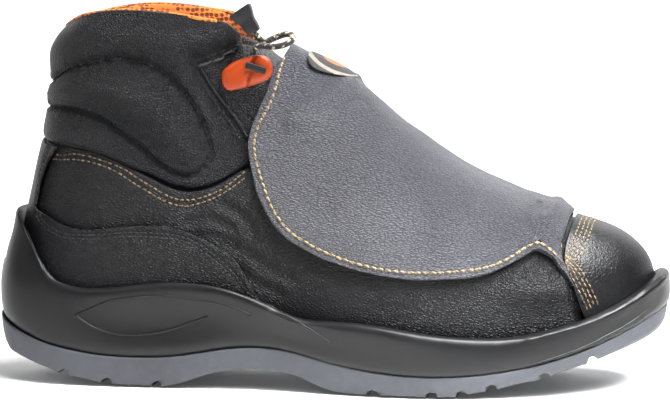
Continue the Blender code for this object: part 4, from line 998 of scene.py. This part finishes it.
# a thumb lever: a domed pad and a block for the band behind a groove
def makeLever(look):
    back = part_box("release_lever")[1].y / mm
    rough = [Vector((x, 0.0, z)) for x, z in look["outline"]]
    outline = evenly(smoothThrough(rough + rough[:1], 8), look["spacing"])
    if (outline[-1] - outline[0]).length < look["spacing"] / 2:
        outline.pop()
    middle = Vector((look["middle"][0], back, look["middle"][1]))
    bm = bmesh.new()
    ring = [bm.verts.new((middle + spot) * mm) for spot in outline]
    edges = [bm.edges.new((a, b)) for a, b in zip(ring, ring[1:] + ring[:1])]
    bmesh.ops.contextual_create(bm, geom=edges)
    for share in look["rings"]:
        # the next ring is drawn out of the last one and put in its place
        drawn = bmesh.ops.extrude_edge_only(bm, edges=edges)["geom"]
        edges = [e for e in drawn if isinstance(e, bmesh.types.BMEdge)]
        ring = [v for v in drawn if isinstance(v, bmesh.types.BMVert)]
        for v, spot in zip(ring, outline):
            rise = Vector((0.0, -leverRise(look, spot, share), 0.0))
            v.co = (middle + spot * share + rise) * mm
    bmesh.ops.contextual_create(bm, geom=edges)
    bmesh.ops.recalc_face_normals(bm, faces=bm.faces)
    return finishMesh("releaseLever", bm, orangeNylon, 60)


lever = makeLever(leverSettings)
place(lever, "orange_plastic", "release_lever")
band = softened("release_band", "releaseBand", blackNylon, 2, 0.0)
place(band, "black_plastic", "release_band")
clip = softened("cord_end", "cordClip", blackNylon, 3, 0.3)
for v in clip.data.vertices:
    away = v.co / mm - cordSettings["clipAt"]
    along = away.dot(cordSettings["clipWay"])
    across = away - cordSettings["clipWay"] * along
    pinch = cordSettings["pinch"] * math.exp(-(along / cordSettings["pinch reach"]) ** 2)
    v.co += across * mm * (cordSettings["flare"] * along - pinch)
place(clip, "black_plastic", "cord_end")


# Woven polyester patch: dark field, pale sewn ring, tan middle. It is plain.
def wovenPatch(look):
    material, tree, shader = startMaterial("woven polyester patch", 0.7, {"Sheen Weight": 0.2})
    spot = addNode(tree, "ShaderNodeTexCoord").outputs["Object"]
    away = addNode(tree, "ShaderNodeVectorMath", {"operation": "DISTANCE", 1: tuple(look["middle"])},
                   {0: spot}).outputs["Value"]
    share = addNode(tree, "ShaderNodeMath", {"operation": "DIVIDE", 1: look["radius"]}, {0: away}).outputs[0]
    rings = addNode(tree, "ShaderNodeValToRGB", None, {"Fac": share})
    rings.color_ramp.interpolation = "CONSTANT"
    for k, (start, colour) in enumerate(look["rings"]):
        stop = rings.color_ramp.elements[k] if k < 2 else rings.color_ramp.elements.new(start)
        stop.position = start
        stop.color = toLinear(colour)
    weave = addNode(tree, "ShaderNodeTexVoronoi", {"feature": "F1", "Scale": perMm(0.6)},
                    {"Vector": spot}).outputs["Distance"]
    bump = addNode(tree, "ShaderNodeBump", {"Strength": 0.7, "Distance": 0.2 * mm, "invert": True},
                   {"Height": weave}).outputs["Normal"]
    tree.links.new(rings.outputs["Color"], shader.inputs["Base Color"])
    tree.links.new(bump, shader.inputs["Normal"])
    return material


badgeLow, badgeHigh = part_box("badge_patch")
badgeSettings = {
    "middle": (badgeLow + badgeHigh) / 2, "radius": (badgeHigh.y - badgeLow.y) / 2,
    "rings": [(0.0, "#8a5228"), (0.36, "#121214"), (0.70, "#7d766a"), (0.86, "#121214")],
}
badge = softened("badge_patch", "plainBadge", wovenPatch(badgeSettings), 2, 0.3)
place(badge, "black_plastic", "badge_patch")
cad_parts["lace"].data.materials.clear()
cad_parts["lace"].data.materials.append(cordBraid)
note("small parts done")

# Floor, curved up behind the boot
sweepSettings = {
    # metres; the glow runs from near to far and from low to high
    "half width": 9.0, "front": -7.0, "turn": 4.5, "radius": 1.5, "height": 6.0,
    "rear glow": (0.05, 0.6, 0.05, 0.95), "front glow": (2.2, 3.4, 0.0, 0.95),
}


# Matte white vinyl, laid flat and curved up; only the ground far from the
# boot and the part behind it glow, so the shadow under the boot stays.
def makeSweep(look):
    material, tree, shader = startMaterial("matte white vinyl", 0.6)
    shader.inputs["Base Color"].default_value = toLinear("#f4f4f4")
    shader.inputs["Emission Color"].default_value = toLinear("#ffffff")
    spot = addNode(tree, "ShaderNodeTexCoord").outputs["Object"]
    depth = addNode(tree, "ShaderNodeSeparateXYZ", None, {"Vector": spot}).outputs["Y"]
    front = addNode(tree, "ShaderNodeMath", {"operation": "MULTIPLY", 1: -1.0}, {0: depth}).outputs[0]
    glows = []
    for source, name in ((depth, "rear glow"), (front, "front glow")):
        near, far, low, high = look[name]
        glows.append(addNode(tree, "ShaderNodeMapRange",
                             {"From Min": near, "From Max": far, "To Min": low, "To Max": high},
                             {"Value": source}).outputs["Result"])
    glow = addNode(tree, "ShaderNodeMath", {"operation": "MAXIMUM"},
                   {0: glows[0], 1: glows[1]}).outputs[0]
    tree.links.new(glow, shader.inputs["Emission Strength"])
    bm = bmesh.new()
    profile = [(look["front"], 0.0), (look["turn"], 0.0)]
    for k in range(1, 10):
        turn = math.radians(10 * k)
        profile.append((look["turn"] + look["radius"] * math.sin(turn),
                        look["radius"] * (1 - math.cos(turn))))
    profile.append((profile[-1][0], look["height"]))
    verts = [bm.verts.new((-look["half width"], y, z - 0.0001)) for y, z in profile]
    edges = [bm.edges.new(pair) for pair in zip(verts, verts[1:])]
    swept = bmesh.ops.extrude_edge_only(bm, edges=edges)["geom"]
    bmesh.ops.translate(bm, verts=[v for v in swept if isinstance(v, bmesh.types.BMVert)],
                        vec=(2 * look["half width"], 0.0, 0.0))
    bmesh.ops.recalc_face_normals(bm, faces=bm.faces)
    sweep = finishMesh("sweep", bm, material, 180)


makeSweep(sweepSettings)
bpy.context.scene.view_settings.view_transform = "Standard"
